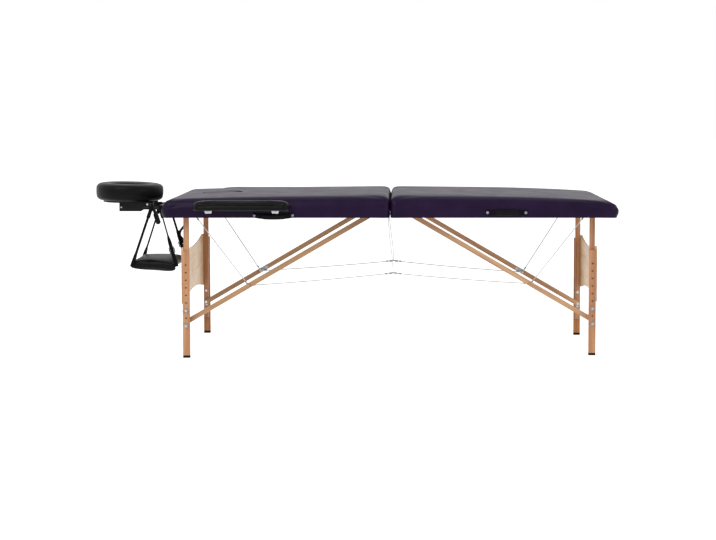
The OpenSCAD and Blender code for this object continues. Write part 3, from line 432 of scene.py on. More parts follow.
def strip(name, path, across, width, thick, steps_across=1):
    """A flat strap along points. across is its width's direction at each point, or one for all."""
    path = [Vector(p) for p in path]
    n = len(path)
    acrosses = [Vector(a).normalized() for a in across] if hasattr(across[0], "__len__") else \
        [Vector(across).normalized()] * n
    points, faces, lengths = [], [], [0.0]
    for i in range(n):
        tangent = (path[min(i + 1, n - 1)] - path[max(i - 1, 0)]).normalized()
        side = (acrosses[i] - tangent * acrosses[i].dot(tangent)).normalized() * width / 2
        up = side.cross(tangent).normalized() * thick / 2
        bevel = 0.82
        points += [path[i] - side * bevel - up, path[i] + side * bevel - up, path[i] + side, path[i] + side * bevel + up,
                   path[i] - side * bevel + up, path[i] - side]
        if i:
            lengths.append(lengths[-1] + (path[i] - path[i - 1]).length)
    ring = 6
    for j in range(n - 1):
        for i in range(ring):
            k = (i + 1) % ring
            faces.append((j * ring + i, j * ring + k, (j + 1) * ring + k, (j + 1) * ring + i))
    faces.append(tuple(range(ring - 1, -1, -1)))
    faces.append(tuple((n - 1) * ring + i for i in range(ring)))
    mesh = to_mesh(name, points, faces)
    flat = mesh.uv_layers.new(name="strap")
    spread = [-0.41, 0.41, 0.5, 0.41, -0.41, -0.5]
    for face in mesh.polygons:
        for loop in face.loop_indices:
            v = mesh.loops[loop].vertex_index
            flat.data[loop].uv = (lengths[v // ring], spread[v % ring] * width)
    fix_normals(mesh)
    return mesh


def fix_normals(mesh):
    work = bmesh.new()
    work.from_mesh(mesh)
    bmesh.ops.remove_doubles(work, verts=work.verts, dist=1e-7)
    bmesh.ops.recalc_face_normals(work, faces=work.faces)
    work.to_mesh(mesh)
    work.free()
    mesh.update()


def tube(name, path, radius, sides=12, closed=False, radii=None):
    """A round tube along points, with a map along and round it."""
    path = [Vector(p) for p in path]
    n = len(path)
    points, faces, lengths = [], [], [0.0]
    normal = None
    for i in range(n):
        before = path[i - 1] if closed or i else path[i]
        after = path[(i + 1) % n] if closed or i < n - 1 else path[i]
        tangent = (after - before).normalized()
        if normal is None:
            normal = tangent.orthogonal().normalized()
        normal = (normal - tangent * normal.dot(tangent)).normalized()
        other = tangent.cross(normal)
        r = radii[i] if radii else radius
        for k in range(sides):
            a = 2 * math.pi * k / sides
            points.append(path[i] + (normal * math.cos(a) + other * math.sin(a)) * r)
        if i:
            lengths.append(lengths[-1] + (path[i] - path[i - 1]).length)
    last = n if closed else n - 1
    for j in range(last):
        for i in range(sides):
            k = (i + 1) % sides
            m = (j + 1) % n
            faces.append((j * sides + i, j * sides + k, m * sides + k, m * sides + i))
    if not closed:
        faces.append(tuple(range(sides - 1, -1, -1)))
        faces.append(tuple((n - 1) * sides + i for i in range(sides)))
    mesh = to_mesh(name, points, faces)
    flat = mesh.uv_layers.new(name="strap")
    for face in mesh.polygons:
        wraps = {mesh.loops[loop].vertex_index % sides for loop in face.loop_indices}
        for loop in face.loop_indices:
            v = mesh.loops[loop].vertex_index
            share = v % sides / sides
            if share == 0 and sides - 1 in wraps:
                share = 1.0
            flat.data[loop].uv = (lengths[v // sides], share)
    fix_normals(mesh)
    return mesh


def joined(name, meshes):
    """One mesh from several, with their maps kept."""
    work = bmesh.new()
    for mesh in meshes:
        work.from_mesh(mesh)
    made = bpy.data.meshes.new(name)
    work.to_mesh(made)
    work.free()
    return made


def row(x, end):
    """A distance from the centre hinge in mm, as x in the row frame in metres."""
    return HINGE_X + (x if end == "foot" else -x) * MM


HINGE_X = frame["joints"][0]["pos_m"][0]
ARMREST_LEAN = 4
STRAP_WIDTH = 16 * MM
ARMREST_BOARD_LOW = 615 * MM
RISER_Y = 365 * MM
END_RADIUS = 45 * MM
COVER_RADIUS = 30 * MM
GAP_RISE = 10 * MM
GAP_RADIUS = 24 * MM


def leg_turn(end):
    """How far the open struts lean, from the pivots' places in the record."""
    pivots = {joint["name"]: joint["pos_m"] for joint in frame["joints"] if "pos_m" in joint}
    foot, top = pivots[end + "_lower_struts_fold"], pivots[end + "_upper_struts_fold"]
    return math.atan2(top[2] - foot[2], top[0] - foot[0])


# Sizes and colours that a user would change

class TableSizes(bpy.types.PropertyGroup):
    """Sizes of the soft and small pieces"""
    crown: bpy.props.FloatProperty(name="Pad crown", description="Rise of each pad's middle over its edge",
                                   default=0.003, unit="LENGTH")
    pleat: bpy.props.FloatProperty(name="Corner pleats", description="Depth of the pleats at the covers' corners",
                                   default=0.0012, unit="LENGTH")
    voxel: bpy.props.FloatProperty(name="Cushion detail", description="Size of the quads that a cushion is made of",
                                   default=0.0045, unit="LENGTH")
    rope: bpy.props.FloatProperty(name="Rope radius", description="Radius of the steel ropes", default=0.0019,
                                  unit="LENGTH")
    stitch: bpy.props.FloatProperty(name="Stitch pitch", description="Distance from one stitch to the next",
                                    default=0.0042, unit="LENGTH")
    screw: bpy.props.FloatProperty(name="Screw head radius", description="Radius of the pan-head screws",
                                   default=0.0036, unit="LENGTH")


class TableColours(bpy.types.PropertyGroup):
    """Colours of the main finishes, as sRGB hex values"""
    cover: bpy.props.StringProperty(name="Cover", description="Colour of the pads' vinyl", default="#1c0c2a")
    cushion: bpy.props.StringProperty(name="Cushion", description="Colour of the black vinyl", default="#09090a")
    timber: bpy.props.StringProperty(name="Timber", description="Middle tone of the beech", default="#b58a62")


class MASSAGE_OT_finishes(bpy.types.Operator):
    """Makes every finish and gives the CAD nodes theirs"""
    bl_idname = "massage.finishes"
    bl_label = "Finishes"

    def execute(self, context):
        colours = context.scene.massage_colours
        vinyl("aubergine vinyl", "#150722", colours.cover, "#241233")
        vinyl("black vinyl", "#050506", colours.cushion, "#0e0e10")
        upright = (0, math.radians(90), 0)
        wood("beech upright", upright, "#8a5735", "#b07a52", "#c8966c")
        # Redder, more saturated beech for the far lower legs: painted light, standing in for the warm light that the
        # end panels throw back onto them
        wood("red beech upright", upright, "#7d4a1c", "#a9692f", "#bf8245")
        wood("beech along", (0, 0, 0), "#94694a", colours.timber, "#cfa982")
        wood("beech head strut", (0, leg_turn("head"), 0), "#8a6244", "#ad845d", "#c79f76")
        wood("beech foot strut", (0, leg_turn("foot"), 0), "#946b4c", "#b98d66", "#cfa982")
        plywood("birch deck", "#a98b66", "#c3a680", "#d5bd9b", 2, (0, 0, 0), 0.626, 0.0013)
        for end in ("head", "foot"):
            low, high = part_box(end + "_end_panel")
            plywood("beech panel " + end, "#e6bd90", "#f6dab6", "#fdecd6", 0, (0, 0, math.radians(90)),
                    low.x, 0.0013)
        plated("zinc plate", "#c3c6ca", "#8b8e93")
        plated("dull steel", "#a3a5a8", "#6f7276", 0.42)
        plated("bright tongue", "#d3d5d8", "#a9acb0", 0.26)
        plated("dark nickel", "#8d8894", "#5f5b66", 0.4)
        enamel("black enamel", "#0a0a0b", "#141416", 0.36)
        enamel("black nylon", "#08080a", "#111113", 0.5, 0.0006)
        enamel("foot rubber", "#121213", "#1e1e1f", 0.78, 0.0005)
        webbing("black webbing", "#070708", "#151517")
        webbing("dark webbing", "#0c0810", "#1b1320")
        stranded("wire rope")
        enamel("black thread", "#17171a", "#2a2a2e", 0.6, 0.0004)
        armrest_metal("armrest board and tongues")
        finish = {}
        for name in frame["nodes"]:
            if name.endswith("_frame") and "armrest" not in name:
                finish[name] = "beech along"
            # The far lower legs take the beech with painted bounce light
            elif "far_lower_leg" in name:
                finish[name] = "red beech upright"
            elif "lower_leg" in name or "upper_legs" in name:
                finish[name] = "beech upright"
            elif "struts" in name:
                finish[name] = "beech head strut" if name.startswith("head") else "beech foot strut"
            elif name.endswith("_end_panel"):
                finish[name] = "beech panel " + name[:4]
            elif name.endswith("_deck"):
                finish[name] = "birch deck"
            elif name.endswith("_foot_cap"):
                finish[name] = "foot rubber"
            elif name.startswith("cradle"):
                finish[name] = "black enamel"
            elif "armrest_frame" in name:
                finish[name] = "armrest board and tongues"
            elif name == "sling_buckles":
                finish[name] = "black nylon"
            elif "knee" in name or name.endswith("_nut"):
                finish[name] = "dull steel"
            else:
                finish[name] = "zinc plate"
        for name, node in frame["nodes"].items():
            material = bpy.data.materials[finish[name]]
            if node.material_slots:
                for each in node.material_slots:
                    each.material = material
            else:
                node.data.materials.append(material)
        return {"FINISHED"}


class MASSAGE_OT_covers(bpy.types.Operator):
    """Draws the vinyl covers over the two foam pads and down the rails"""
    bl_idname = "massage.covers"
    bl_label = "Vinyl covers"

    def execute(self, context):
        sizes = context.scene.massage_sizes
        for end in ("head", "foot"):
            low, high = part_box(end + "_pad")
            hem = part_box(end + "_skirt")[0].z
            r0, r1 = (COVER_RADIUS, GAP_RADIUS) if end == "head" else (GAP_RADIUS, COVER_RADIUS)

            def outline(inset):
                return plan(low.x, high.x, low.y, high.y, r0, r1, inset)

            flat = high.z - 6 * MM - sizes.crown
            mesh = self.shell(end, low, high, hem, flat, r0, r1)
            mesh = remesh(mesh, 0.0065)
            self.crown(mesh, end, low, high, hem, flat, sizes)
            mesh = inflated(mesh, 0.0022, 2.0, held=lambda p: p[2] < hem + 0.03, frames=12)
            mesh = divided(mesh)
            inside = stacked("inside", [(hem - 0.03, 0.0024), (low.z + 0.0002, 0.0024)], outline)
            mesh = cut(mesh, inside)
            mesh = cut(mesh, self.below(low, high, hem))
            if end == "head":
                hole_low, hole_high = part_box("face_hole_plug")
                rim = 0.0016
                opening = lambda inset: plan(hole_low.x - rim, hole_high.x + rim, hole_low.y - rim, hole_high.y + rim,
                                             0.0575, 0.0575, inset, 16)
                mesh = cut(mesh, stacked("opening", [(low.z - 0.01, 0.0), (flat - 0.003, 0.0),
                                                     (flat + 0.023, -0.006)], opening))
            piece = put(end + "_cover", mesh, end + "_half", "aubergine vinyl")
            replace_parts(piece, end + "_pad", end + "_skirt")
        return {"FINISHED"}

    def shell(self, end, low, high, hem, flat, r0, r1):
        """The pad's outside. Its edge is rounded most at the outer end, less at the sides and least at the gap."""
        away = -1 if end == "head" else 1
        rim = [(Vector(p), (Vector(p) - Vector(q)).normalized()) for p, q in
               zip(plan(low.x, high.x, low.y, high.y, r0, r1, 0), plan(low.x, high.x, low.y, high.y, r0, r1, 0.01))]
        end_wide, end_tall = (-2, 2) if end == "head" else (12, 3)
        rounds = []
        for p, n in rim:
            out, back = max(0, n.x * away) ** 1.5, max(0, -n.x * away) ** 1.5
            rounds.append(((30 + end_wide * out - 17 * back) * MM, (27 + end_tall * out - 9 * back) * MM, out))
        points, faces = [], []
        heights = [(-0.25, 0.0), (0.0, -0.2), (0.3, -1.0), (0.6, -1.2), (0.85, -0.8), (1.0, -0.3)]
        arcs = [math.radians(d) for d in (12, 24, 36, 48, 60, 72, 82, 90)]
        for t, swell in heights:
            for (p, n), (wide, tall, out) in zip(rim, rounds):
                points.append((*(p - n * swell * (1.2 + 7 * out) * MM), hem + (flat - tall - hem) * t))
        for arc in arcs:
            for (p, n), (wide, tall, out) in zip(rim, rounds):
                inset = wide * (1 - math.cos(arc)) - 0.3 * (1.2 + 7 * out) * MM * math.cos(arc)
                points.append((*(p - n * inset), flat - tall + tall * math.sin(arc)))
        count = len(rim)
        for j in range(len(heights) + len(arcs) - 1):
            for i in range(count):
                k = (i + 1) % count
                faces.append((j * count + i, j * count + k, (j + 1) * count + k, (j + 1) * count + i))
        faces.append(tuple(range(count - 1, -1, -1)))
        faces.append(tuple(len(points) - count + i for i in range(count)))
        return to_mesh("shell", points, faces)

    def below(self, low, high, hem):
        """What is cut away under the hem. It dips a little towards the corners, where the vinyl hangs."""
        points, faces = [], []
        n = 24
        for top in (0, 1):
            for i in range(n + 1):
                for y in (low.y - 0.05, high.y + 0.05):
                    u = abs(2 * i / n - 1)
                    z = hem - 0.0016 - 0.002 * max(0, u - 0.8) / 0.2 if top else hem - 0.1
                    points.append((low.x - 0.05 + (high.x - low.x + 0.1) * i / n, y, z))
        half = 2 * (n + 1)
        for i in range(n):
            a = 2 * i
            faces += [(a, a + 1, a + 3, a + 2), (half + a, half + a + 2, half + a + 3, half + a + 1),
                      (a, a + 2, half + a + 2, half + a), (a + 1, half + a + 1, half + a + 3, a + 3)]
        faces += [(0, half, half + 1, 1), (2 * n, 2 * n + 1, half + 2 * n + 1, half + 2 * n)]
        mesh = to_mesh("below", points, faces)
        fix_normals(mesh)
        return mesh

    def crown(self, mesh, end, low, high, hem, flat, sizes):
        """Raises the pad's middle, lets it fall towards the outer end and gathers pleats at the outer corners."""
        outer = low.x if end == "head" else high.x
        fall = (6 if end == "head" else 16) * MM
        whole = high.x - low.x
        for v in mesh.vertices:
            p = v.co
            across = min(p.y - low.y, high.y - p.y)
            along, gap = abs(p.x - outer), high.x - low.x - abs(p.x - outer)
            share = max(0, (p.z - hem) / (flat - hem))
            t = min(1, max(0, across / 0.16), max(0, along / 0.2), max(0, gap / 0.1))
            v.co.z += sizes.crown * t * (2 - t) * min(1, max(0, (p.z - flat + 0.028) / 0.028))
            inward = min(1, max(0, across) / 0.09)
            v.co.z += GAP_RISE * share * max(0, along) / whole * inward * (2 - inward)
            v.co.z -= fall * min(1, share) ** 2.5 * max(0, 1 - max(0, along) / 0.55) ** 2.2
            away = math.hypot(p.x - outer, across)
            if away < 0.085 and min(along, across) < 0.016:
                turn = math.atan2(across, along)
                gather = math.sin(turn * 22 + 1.3) * (1 - away / 0.085)
                drop = max(0, 1 - (p.z - low.z + 0.045) / 0.07)
                out = Vector((p.x - (low.x + high.x) / 2, p.y - (low.y + high.y) / 2, 0)).normalized()
                v.co -= out * sizes.pleat * (1 + gather) * 0.5 * drop
        mesh.update()


def seam(mesh, outline, radius, name):
    """Piping laid on a cushion where its rings of points meet the surface."""
    from mathutils.bvhtree import BVHTree
    tree = BVHTree.FromPolygons([v.co for v in mesh.vertices], [tuple(p.vertices) for p in mesh.polygons])
    path = []
    for p in outline:
        spot = tree.find_nearest(Vector(p))[0]
        path.append(spot)
    even = [path[0]]
    for p in path[1:]:
        if (p - even[-1]).length > radius:
            even.append(p)
    return tube(name, even, radius, 8, closed=True)


class MASSAGE_OT_cushions(bpy.types.Operator):
    """Stuffs the face cushion, the armrests, the arm shelf and the face hole's plug"""
    bl_idname = "massage.cushions"
    bl_label = "Cushions"

    def execute(self, context):
        sizes = context.scene.massage_sizes
        self.plug(sizes)
        self.ring(sizes)
        for side in ("near", "far"):
            self.armrest(side, sizes)
        self.shelf(sizes)
        return {"FINISHED"}

    def plug(self, sizes):
        low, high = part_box("face_hole_plug")
        outline = lambda inset: plan(low.x, high.x, low.y, high.y, 0.057, 0.057, inset, 14)
        edge = 7 * MM
        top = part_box("head_pad")[1].z - 5.5 * MM
        levels = [(low.z, 0.002), (low.z + 0.008, 0.0), (top - edge, 0.0)]
        levels += [(top - edge + edge * math.sin(a), edge * (1 - math.cos(a)))
                   for a in (math.radians(d) for d in (20, 45, 70, 90))]
        levels += [(top + 0.0012, 0.018), (top + 0.002, 0.034)]
        mesh = remesh(stacked("plug", levels, outline), 0.0035)
        mesh = inflated(mesh, 0.001, 2.0, held=lambda p: p[2] < low.z + 0.02, frames=8)
        piece = put("face_plug", divided(mesh), "plug", "aubergine vinyl")
        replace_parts(piece, "face_hole_plug")

    def ring(self, sizes):
        low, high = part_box("cradle_ring")
        middle = (low + high) / 2 - Vector((0.003, 0, 0))
        outer = ((high.x - low.x) / 2 + 0.001, (high.y - low.y) / 2 + 0.001)
        inner = (0.062, 0.051)
        around, section = 112, 28
        points, faces = [], []
        for i in range(around):
            a = 2 * math.pi * i / around
            for j in range(section):
                b = 2 * math.pi * j / section
                u = math.copysign(abs(math.cos(b)) ** 0.62, math.cos(b))
                v = math.copysign(abs(math.sin(b)) ** 0.6, math.sin(b))
                # The crown slopes down towards the face
                high_side = 1 - 0.14 * max(0, -u) * (v > 0)
                rx = (outer[0] + inner[0]) / 2 + (outer[0] - inner[0]) / 2 * u
                ry = (outer[1] + inner[1]) / 2 + (outer[1] - inner[1]) / 2 * u
                slope = (0.009 if v > 0 else 0.006) * (math.cos(a) * rx / outer[0] + 1) / 2 * abs(v)
                points.append((middle.x + rx * math.cos(a), middle.y + ry * math.sin(a),
                               middle.z + (high.z - low.z + 0.004) / 2 * v * high_side - slope))
        for i in range(around):
            for j in range(section):
                k, m = (i + 1) % around, (j + 1) % section
                faces.append((i * section + j, k * section + j, k * section + m, i * section + m))
        mesh = to_mesh("ring", points, faces)
        fix_normals(mesh)
        mesh = remesh(mesh, sizes.voxel)
        mesh = inflated(mesh, 0.0035, 4.0, held=lambda p: p[2] < low.z + 0.006, frames=16)
        mesh = divided(mesh)
        piece = put("face_cushion", mesh, "cradle_head", "black vinyl")
        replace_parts(piece, "cradle_ring")
        pipes = []
        for radius_x, radius_y, z in ((outer[0] + 0.01, outer[1] + 0.01, high.z - 0.012),
                                      (outer[0] + 0.01, outer[1] + 0.01, low.z + 0.008)):
            line = [(middle.x + radius_x * math.cos(2 * math.pi * i / 160),
                     middle.y + radius_y * math.sin(2 * math.pi * i / 160),
                     z - 0.004 * (math.cos(2 * math.pi * i / 160) + 1)) for i in range(160)]
            pipes.append(seam(mesh, line, 0.0013, "pipe"))
        piping = put("face_cushion_piping", joined("piping", pipes), "cradle_head", "black vinyl")

    def armrest(self, side, sizes):
        """A boxed cushion, made level and then leaned about the inner edge of its board."""
        name = side + "_armrest"
        low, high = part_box(name)
        way = 1 if side == "far" else -1
        near, wide, base, thick = 353 * MM, 114 * MM, 621 * MM, 34 * MM
        ys = sorted((way * (near + 0.002), way * (near + wide - 0.002)))
        outline = lambda inset: plan(low.x + 0.002, high.x - 0.002, *ys, 0.036, 0.014, inset, 10)
        edge = 15 * MM
        top = base + thick - 0.003
        levels = [(base - 0.0072, 0.002), (base - 0.005, -0.0012), (base + 0.003, -0.0012), (base + 0.012, 0.0),
                  (top - edge, 0.0)]
        levels += [(top - edge + edge * math.sin(a), edge * (1 - math.cos(a)))
                   for a in (math.radians(d) for d in (20, 45, 70, 90))]
        mesh = remesh(stacked(name, levels, outline), 0.004)
        mesh = inflated(mesh, 0.0045, 4.0, held=lambda p: p[2] < base + 0.001, frames=16)
        mesh = divided(mesh)
        pipes = [seam(mesh, [(x, y, z) for x, y in outline(-0.012)], 0.0012, "pipe")
                 for z in (base - 0.004, top - 0.011)]
        axis = Vector((0, way * RISER_Y, ARMREST_BOARD_LOW))
        lean = Matrix.Translation(axis) @ Matrix.Rotation(math.radians(ARMREST_LEAN * way), 4, "X") @ \
            Matrix.Translation(-axis)
        piping = joined("pipes", pipes)
        for each in (mesh, piping):
            each.transform(lean)
        piece = put(name + "_cushion", mesh, name + "_body", "black vinyl")
        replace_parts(piece, name)
        put(name + "_piping", piping, name + "_body", "black vinyl")

    def shelf(self, sizes):
        low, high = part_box("arm_shelf")
        centre = (low + high) / 2
        half = (high - low) / 2
        n = 36
        points, faces = [], []
        flat_z = low.z + 0.46 * (high.z - low.z)
        wall = 0.008
        for layer, rise in ((1, high.z - flat_z - wall), (-1, flat_z - low.z - wall)):
            for i in range(n + 1):
                for j in range(n + 1):
                    u, v = -1 + 2 * i / n, -1 + 2 * j / n
                    # Corners stay sharp and the sides pull in between them
                    x = centre.x + u * (half.x + 0.006 - 0.009 * (1 - v ** 4))
                    y = centre.y + v * (half.y + 0.004 - 0.007 * (1 - u ** 4))
                    puff = (1 - u ** 4) ** 0.5 * (1 - v ** 4) ** 0.5
                    # The corner by the camera on the table's side hangs a little
                    droop = 0.015 * max(0, (u + 1) / 2) ** 2 * max(0, (1 - v) / 2) ** 2
                    points.append((x, y, flat_z + layer * (wall + rise * puff) - droop))
        count = (n + 1) ** 2
        for i in range(n):
            for j in range(n):
                a, b = i * (n + 1) + j, (i + 1) * (n + 1) + j
                faces.append((a, b, b + 1, a + 1))
                faces.append((count + a, count + a + 1, count + b + 1, count + b))
        rim = [(0, j) for j in range(n + 1)] + [(i, n) for i in range(1, n + 1)] + \
            [(n, j) for j in range(n - 1, -1, -1)] + [(i, 0) for i in range(n - 1, 0, -1)]
        ids = [i * (n + 1) + j for i, j in rim]
        for a, b in zip(ids, ids[1:] + ids[:1]):
            faces.append((a, b, count + b, count + a))
        mesh = to_mesh("shelf", points, faces)
        fix_normals(mesh)
        mesh = remesh(mesh, 0.004)
        mesh = inflated(mesh, 0.005, 4.0, frames=14)
        mesh = divided(mesh)
        piece = put("arm_shelf_cushion", mesh, "cradle", "black vinyl")
        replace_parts(piece, "arm_shelf")
        line = [Vector(points[i]) * 0.5 + Vector(points[count + i]) * 0.5 for i in ids]
        line = [centre + (p - centre) * 1.03 for p in line]
        put("arm_shelf_piping", seam(mesh, line, 0.0012, "pipe"), "cradle", "black vinyl")


# Small things that repeat: Geometry Nodes lays them out, and they are then kept as plain meshes

def tree_of(name, inputs):
    """An empty Geometry Nodes tree with a geometry input and output and the named inputs."""
    tree = bpy.data.node_groups.new(name, "GeometryNodeTree")
    tree.interface.new_socket("Geometry", in_out="INPUT", socket_type="NodeSocketGeometry")
    tree.interface.new_socket("Geometry", in_out="OUTPUT", socket_type="NodeSocketGeometry")
    for label, kind, value in inputs:
        socket = tree.interface.new_socket(label, in_out="INPUT", socket_type=kind)
        if value is not None:
            socket.default_value = value
    start = tree.nodes.new("NodeGroupInput")
    return tree, start.outputs


def finish_tree(tree, instances, material):
    real = add(tree, "GeometryNodeRealizeInstances", {"Geometry": instances})
    dressed = add(tree, "GeometryNodeSetMaterial", {"Geometry": real.outputs[0], "Material": material})
    add(tree, "NodeGroupOutput", {"Geometry": dressed.outputs[0]})


def stitch_tree():
    """Thread stitches along the input's edges, each a slim grain that lies along the seam."""
    tree, given = tree_of("stitches", [("Pitch", "NodeSocketFloat", 0.0042), ("Share", "NodeSocketFloat", 0.62),
                                       ("Thread radius", "NodeSocketFloat", 0.0004),
                                       ("Material", "NodeSocketMaterial", None)])
    curve = add(tree, "GeometryNodeMeshToCurve", {"Mesh": given["Geometry"]})
    even = add(tree, "GeometryNodeResampleCurve", {"Curve": curve.outputs[0], "Length": given["Pitch"]}, mode="LENGTH")
    bead = add(tree, "GeometryNodeMeshUVSphere", {"Segments": 6, "Rings": 5, "Radius": 1.0})
    half = add(tree, "ShaderNodeMath", {0: given["Pitch"], 1: given["Share"]}, operation="MULTIPLY")
    long_ = add(tree, "ShaderNodeMath", {0: half.outputs[0], 1: 0.5}, operation="MULTIPLY")
    size = add(tree, "ShaderNodeCombineXYZ", {0: given["Thread radius"], 1: given["Thread radius"],
                                              2: long_.outputs[0]})
    tangent = add(tree, "GeometryNodeInputTangent")
    turn = add(tree, "FunctionNodeAlignRotationToVector", {"Vector": tangent.outputs[0]}, axis="Z")
    laid = add(tree, "GeometryNodeInstanceOnPoints", {"Points": even.outputs[0], "Instance": bead.outputs[0],
                                                      "Rotation": turn.outputs[0], "Scale": size.outputs[0]})
    finish_tree(tree, laid.outputs[0], given["Material"])
    return tree


def scatter_tree():
    """A fitting on every input point, facing along the point's axis and turned about it by chance."""
    tree, given = tree_of("fittings", [("Fitting", "NodeSocketObject", None), ("Turn", "NodeSocketFloat", math.pi),
                                       ("Seed", "NodeSocketInt", 7), ("Material", "NodeSocketMaterial", None)])
    shape_ = add(tree, "GeometryNodeObjectInfo", {"Object": given["Fitting"]})
    axis = add(tree, "GeometryNodeInputNamedAttribute", {"Name": "axis"}, data_type="FLOAT_VECTOR")
    face = add(tree, "FunctionNodeAlignRotationToVector", {"Vector": axis.outputs[0]}, axis="Z")
    chance = add(tree, "FunctionNodeRandomValue", {3: given["Turn"], "Seed": given["Seed"]}, data_type="FLOAT")
    spin = add(tree, "ShaderNodeCombineXYZ", {2: chance.outputs[1]})
    turned = add(tree, "FunctionNodeEulerToRotation", {0: spin.outputs[0]})
    both = add(tree, "FunctionNodeRotateRotation", {0: face.outputs[0], 1: turned.outputs[0]}, rotation_space="LOCAL")
    laid = add(tree, "GeometryNodeInstanceOnPoints", {"Points": given["Geometry"], "Instance": shape_.outputs["Geometry"],
                                                      "Rotation": both.outputs[0]})
    finish_tree(tree, laid.outputs[0], given["Material"])
    return tree


def grown(mesh, tree, values):
    """The mesh that a Geometry Nodes tree makes of an input mesh."""
    scratch = bpy.data.objects.new("scratch", mesh)
    bpy.context.scene.collection.objects.link(scratch)
    change = scratch.modifiers.new(tree.name, "NODES")
    change.node_group = tree
    for socket in tree.interface.items_tree:
        if socket.in_out == "INPUT" and socket.name in values:
            change[socket.identifier] = values[socket.name]
    scratch.update_tag()
    return baked(scratch)


def stitched(name, lines, body, material="black thread", pitch=None, radius=0.0004):
    """Stitches along lines of points, as one piece."""
    points, edges = [], []
    for line in lines:
        first = len(points)
        points += [tuple(p) for p in line]
        edges += [(i, i + 1) for i in range(first, len(points) - 1)]
    mesh = bpy.data.meshes.new(name)
    mesh.from_pydata(points, edges, [])
    tree = bpy.data.node_groups.get("stitches") or stitch_tree()
    values = {"Pitch": pitch or bpy.context.scene.massage_sizes.stitch, "Thread radius": radius,
              "Material": bpy.data.materials[material]}
    return put(name, grown(mesh, tree, values), body, material)


def scattered(name, spots, fitting, body, material, turn=math.pi):
    """A fitting at each (place, axis) pair, as one piece."""
    mesh = bpy.data.meshes.new(name)
    mesh.from_pydata([tuple(place) for place, axis in spots], [], [])
    axes = mesh.attributes.new("axis", "FLOAT_VECTOR", "POINT")
    axes.data.foreach_set("vector", [c for place, axis in spots for c in axis])
    holder = bpy.data.objects.new("fitting", fitting)
    bpy.context.scene.collection.objects.link(holder)
    tree = bpy.data.node_groups.get("fittings") or scatter_tree()
    made = grown(mesh, tree, {"Fitting": holder, "Turn": turn, "Seed": 7, "Material": bpy.data.materials[material]})
    bpy.data.objects.remove(holder)
    return put(name, made, body, material)


def lathe(name, profile, sides=24):
    """A turned form from (radius, height) pairs, closed where the radius is zero."""
    points, faces = [], []
    rings = []
    for r, z in profile:
        if r <= 0:
            rings.append([len(points)])
            points.append((0, 0, z))
        else:
            rings.append(list(range(len(points), len(points) + sides)))
            points += [(r * math.cos(2 * math.pi * k / sides), r * math.sin(2 * math.pi * k / sides), z)
                       for k in range(sides)]
    for low, high in zip(rings, rings[1:]):
        for k in range(sides):
            m = (k + 1) % sides
            if len(low) == 1 and len(high) > 1:
                faces.append((low[0], high[m], high[k]))
            elif len(high) == 1 and len(low) > 1:
                faces.append((low[k], low[m], high[0]))
            elif len(low) > 1:
                faces.append((low[k], low[m], high[m], high[k]))
    mesh = to_mesh(name, points, faces)
    fix_normals(mesh)
    return mesh


def pan_screw(radius, height, seat=0.0008):
    """A pan-head screw with a cross recess. It starts a little inside what it holds."""
    profile = [(0, -seat), (radius, -seat), (radius, height * 0.35), (radius * 0.93, height * 0.68),
               (radius * 0.7, height * 0.92), (radius * 0.35, height), (0, height)]
    head = lathe("screw", profile, 20)
    arm, slit, deep = radius * 0.62, radius * 0.13, height * 0.6
    for a, b in ((arm, slit), (slit * 0.98, arm)):
        top, low = height * 1.2, height - deep
        bar = to_mesh("slot", [(x * a * (0.55 if z == low else 1), y * b, z) for z in (low, top)
                               for x, y in ((-1, -1), (1, -1), (1, 1), (-1, 1))],
                      [(3, 2, 1, 0), (4, 5, 6, 7), (0, 1, 5, 4), (1, 2, 6, 5), (2, 3, 7, 6), (3, 0, 4, 7)])
        fix_normals(bar)
        head = cut(head, bar)
    return head


def curved(points, steps=10):
    """Points along a smooth curve through the given ones."""
    points = [Vector(p) for p in points]
    ends = [points[0] * 2 - points[1]] + points + [points[-1] * 2 - points[-2]]
    line = []
    for i in range(1, len(ends) - 2):
        p0, p1, p2, p3 = ends[i - 1:i + 3]
        for k in range(steps):
            t = k / steps
            line.append(0.5 * ((2 * p1) + (p2 - p0) * t + (2 * p0 - 5 * p1 + 4 * p2 - p3) * t * t
                               + (3 * p1 - p0 - 3 * p2 + p3) * t ** 3))
    return line + [points[-1]]


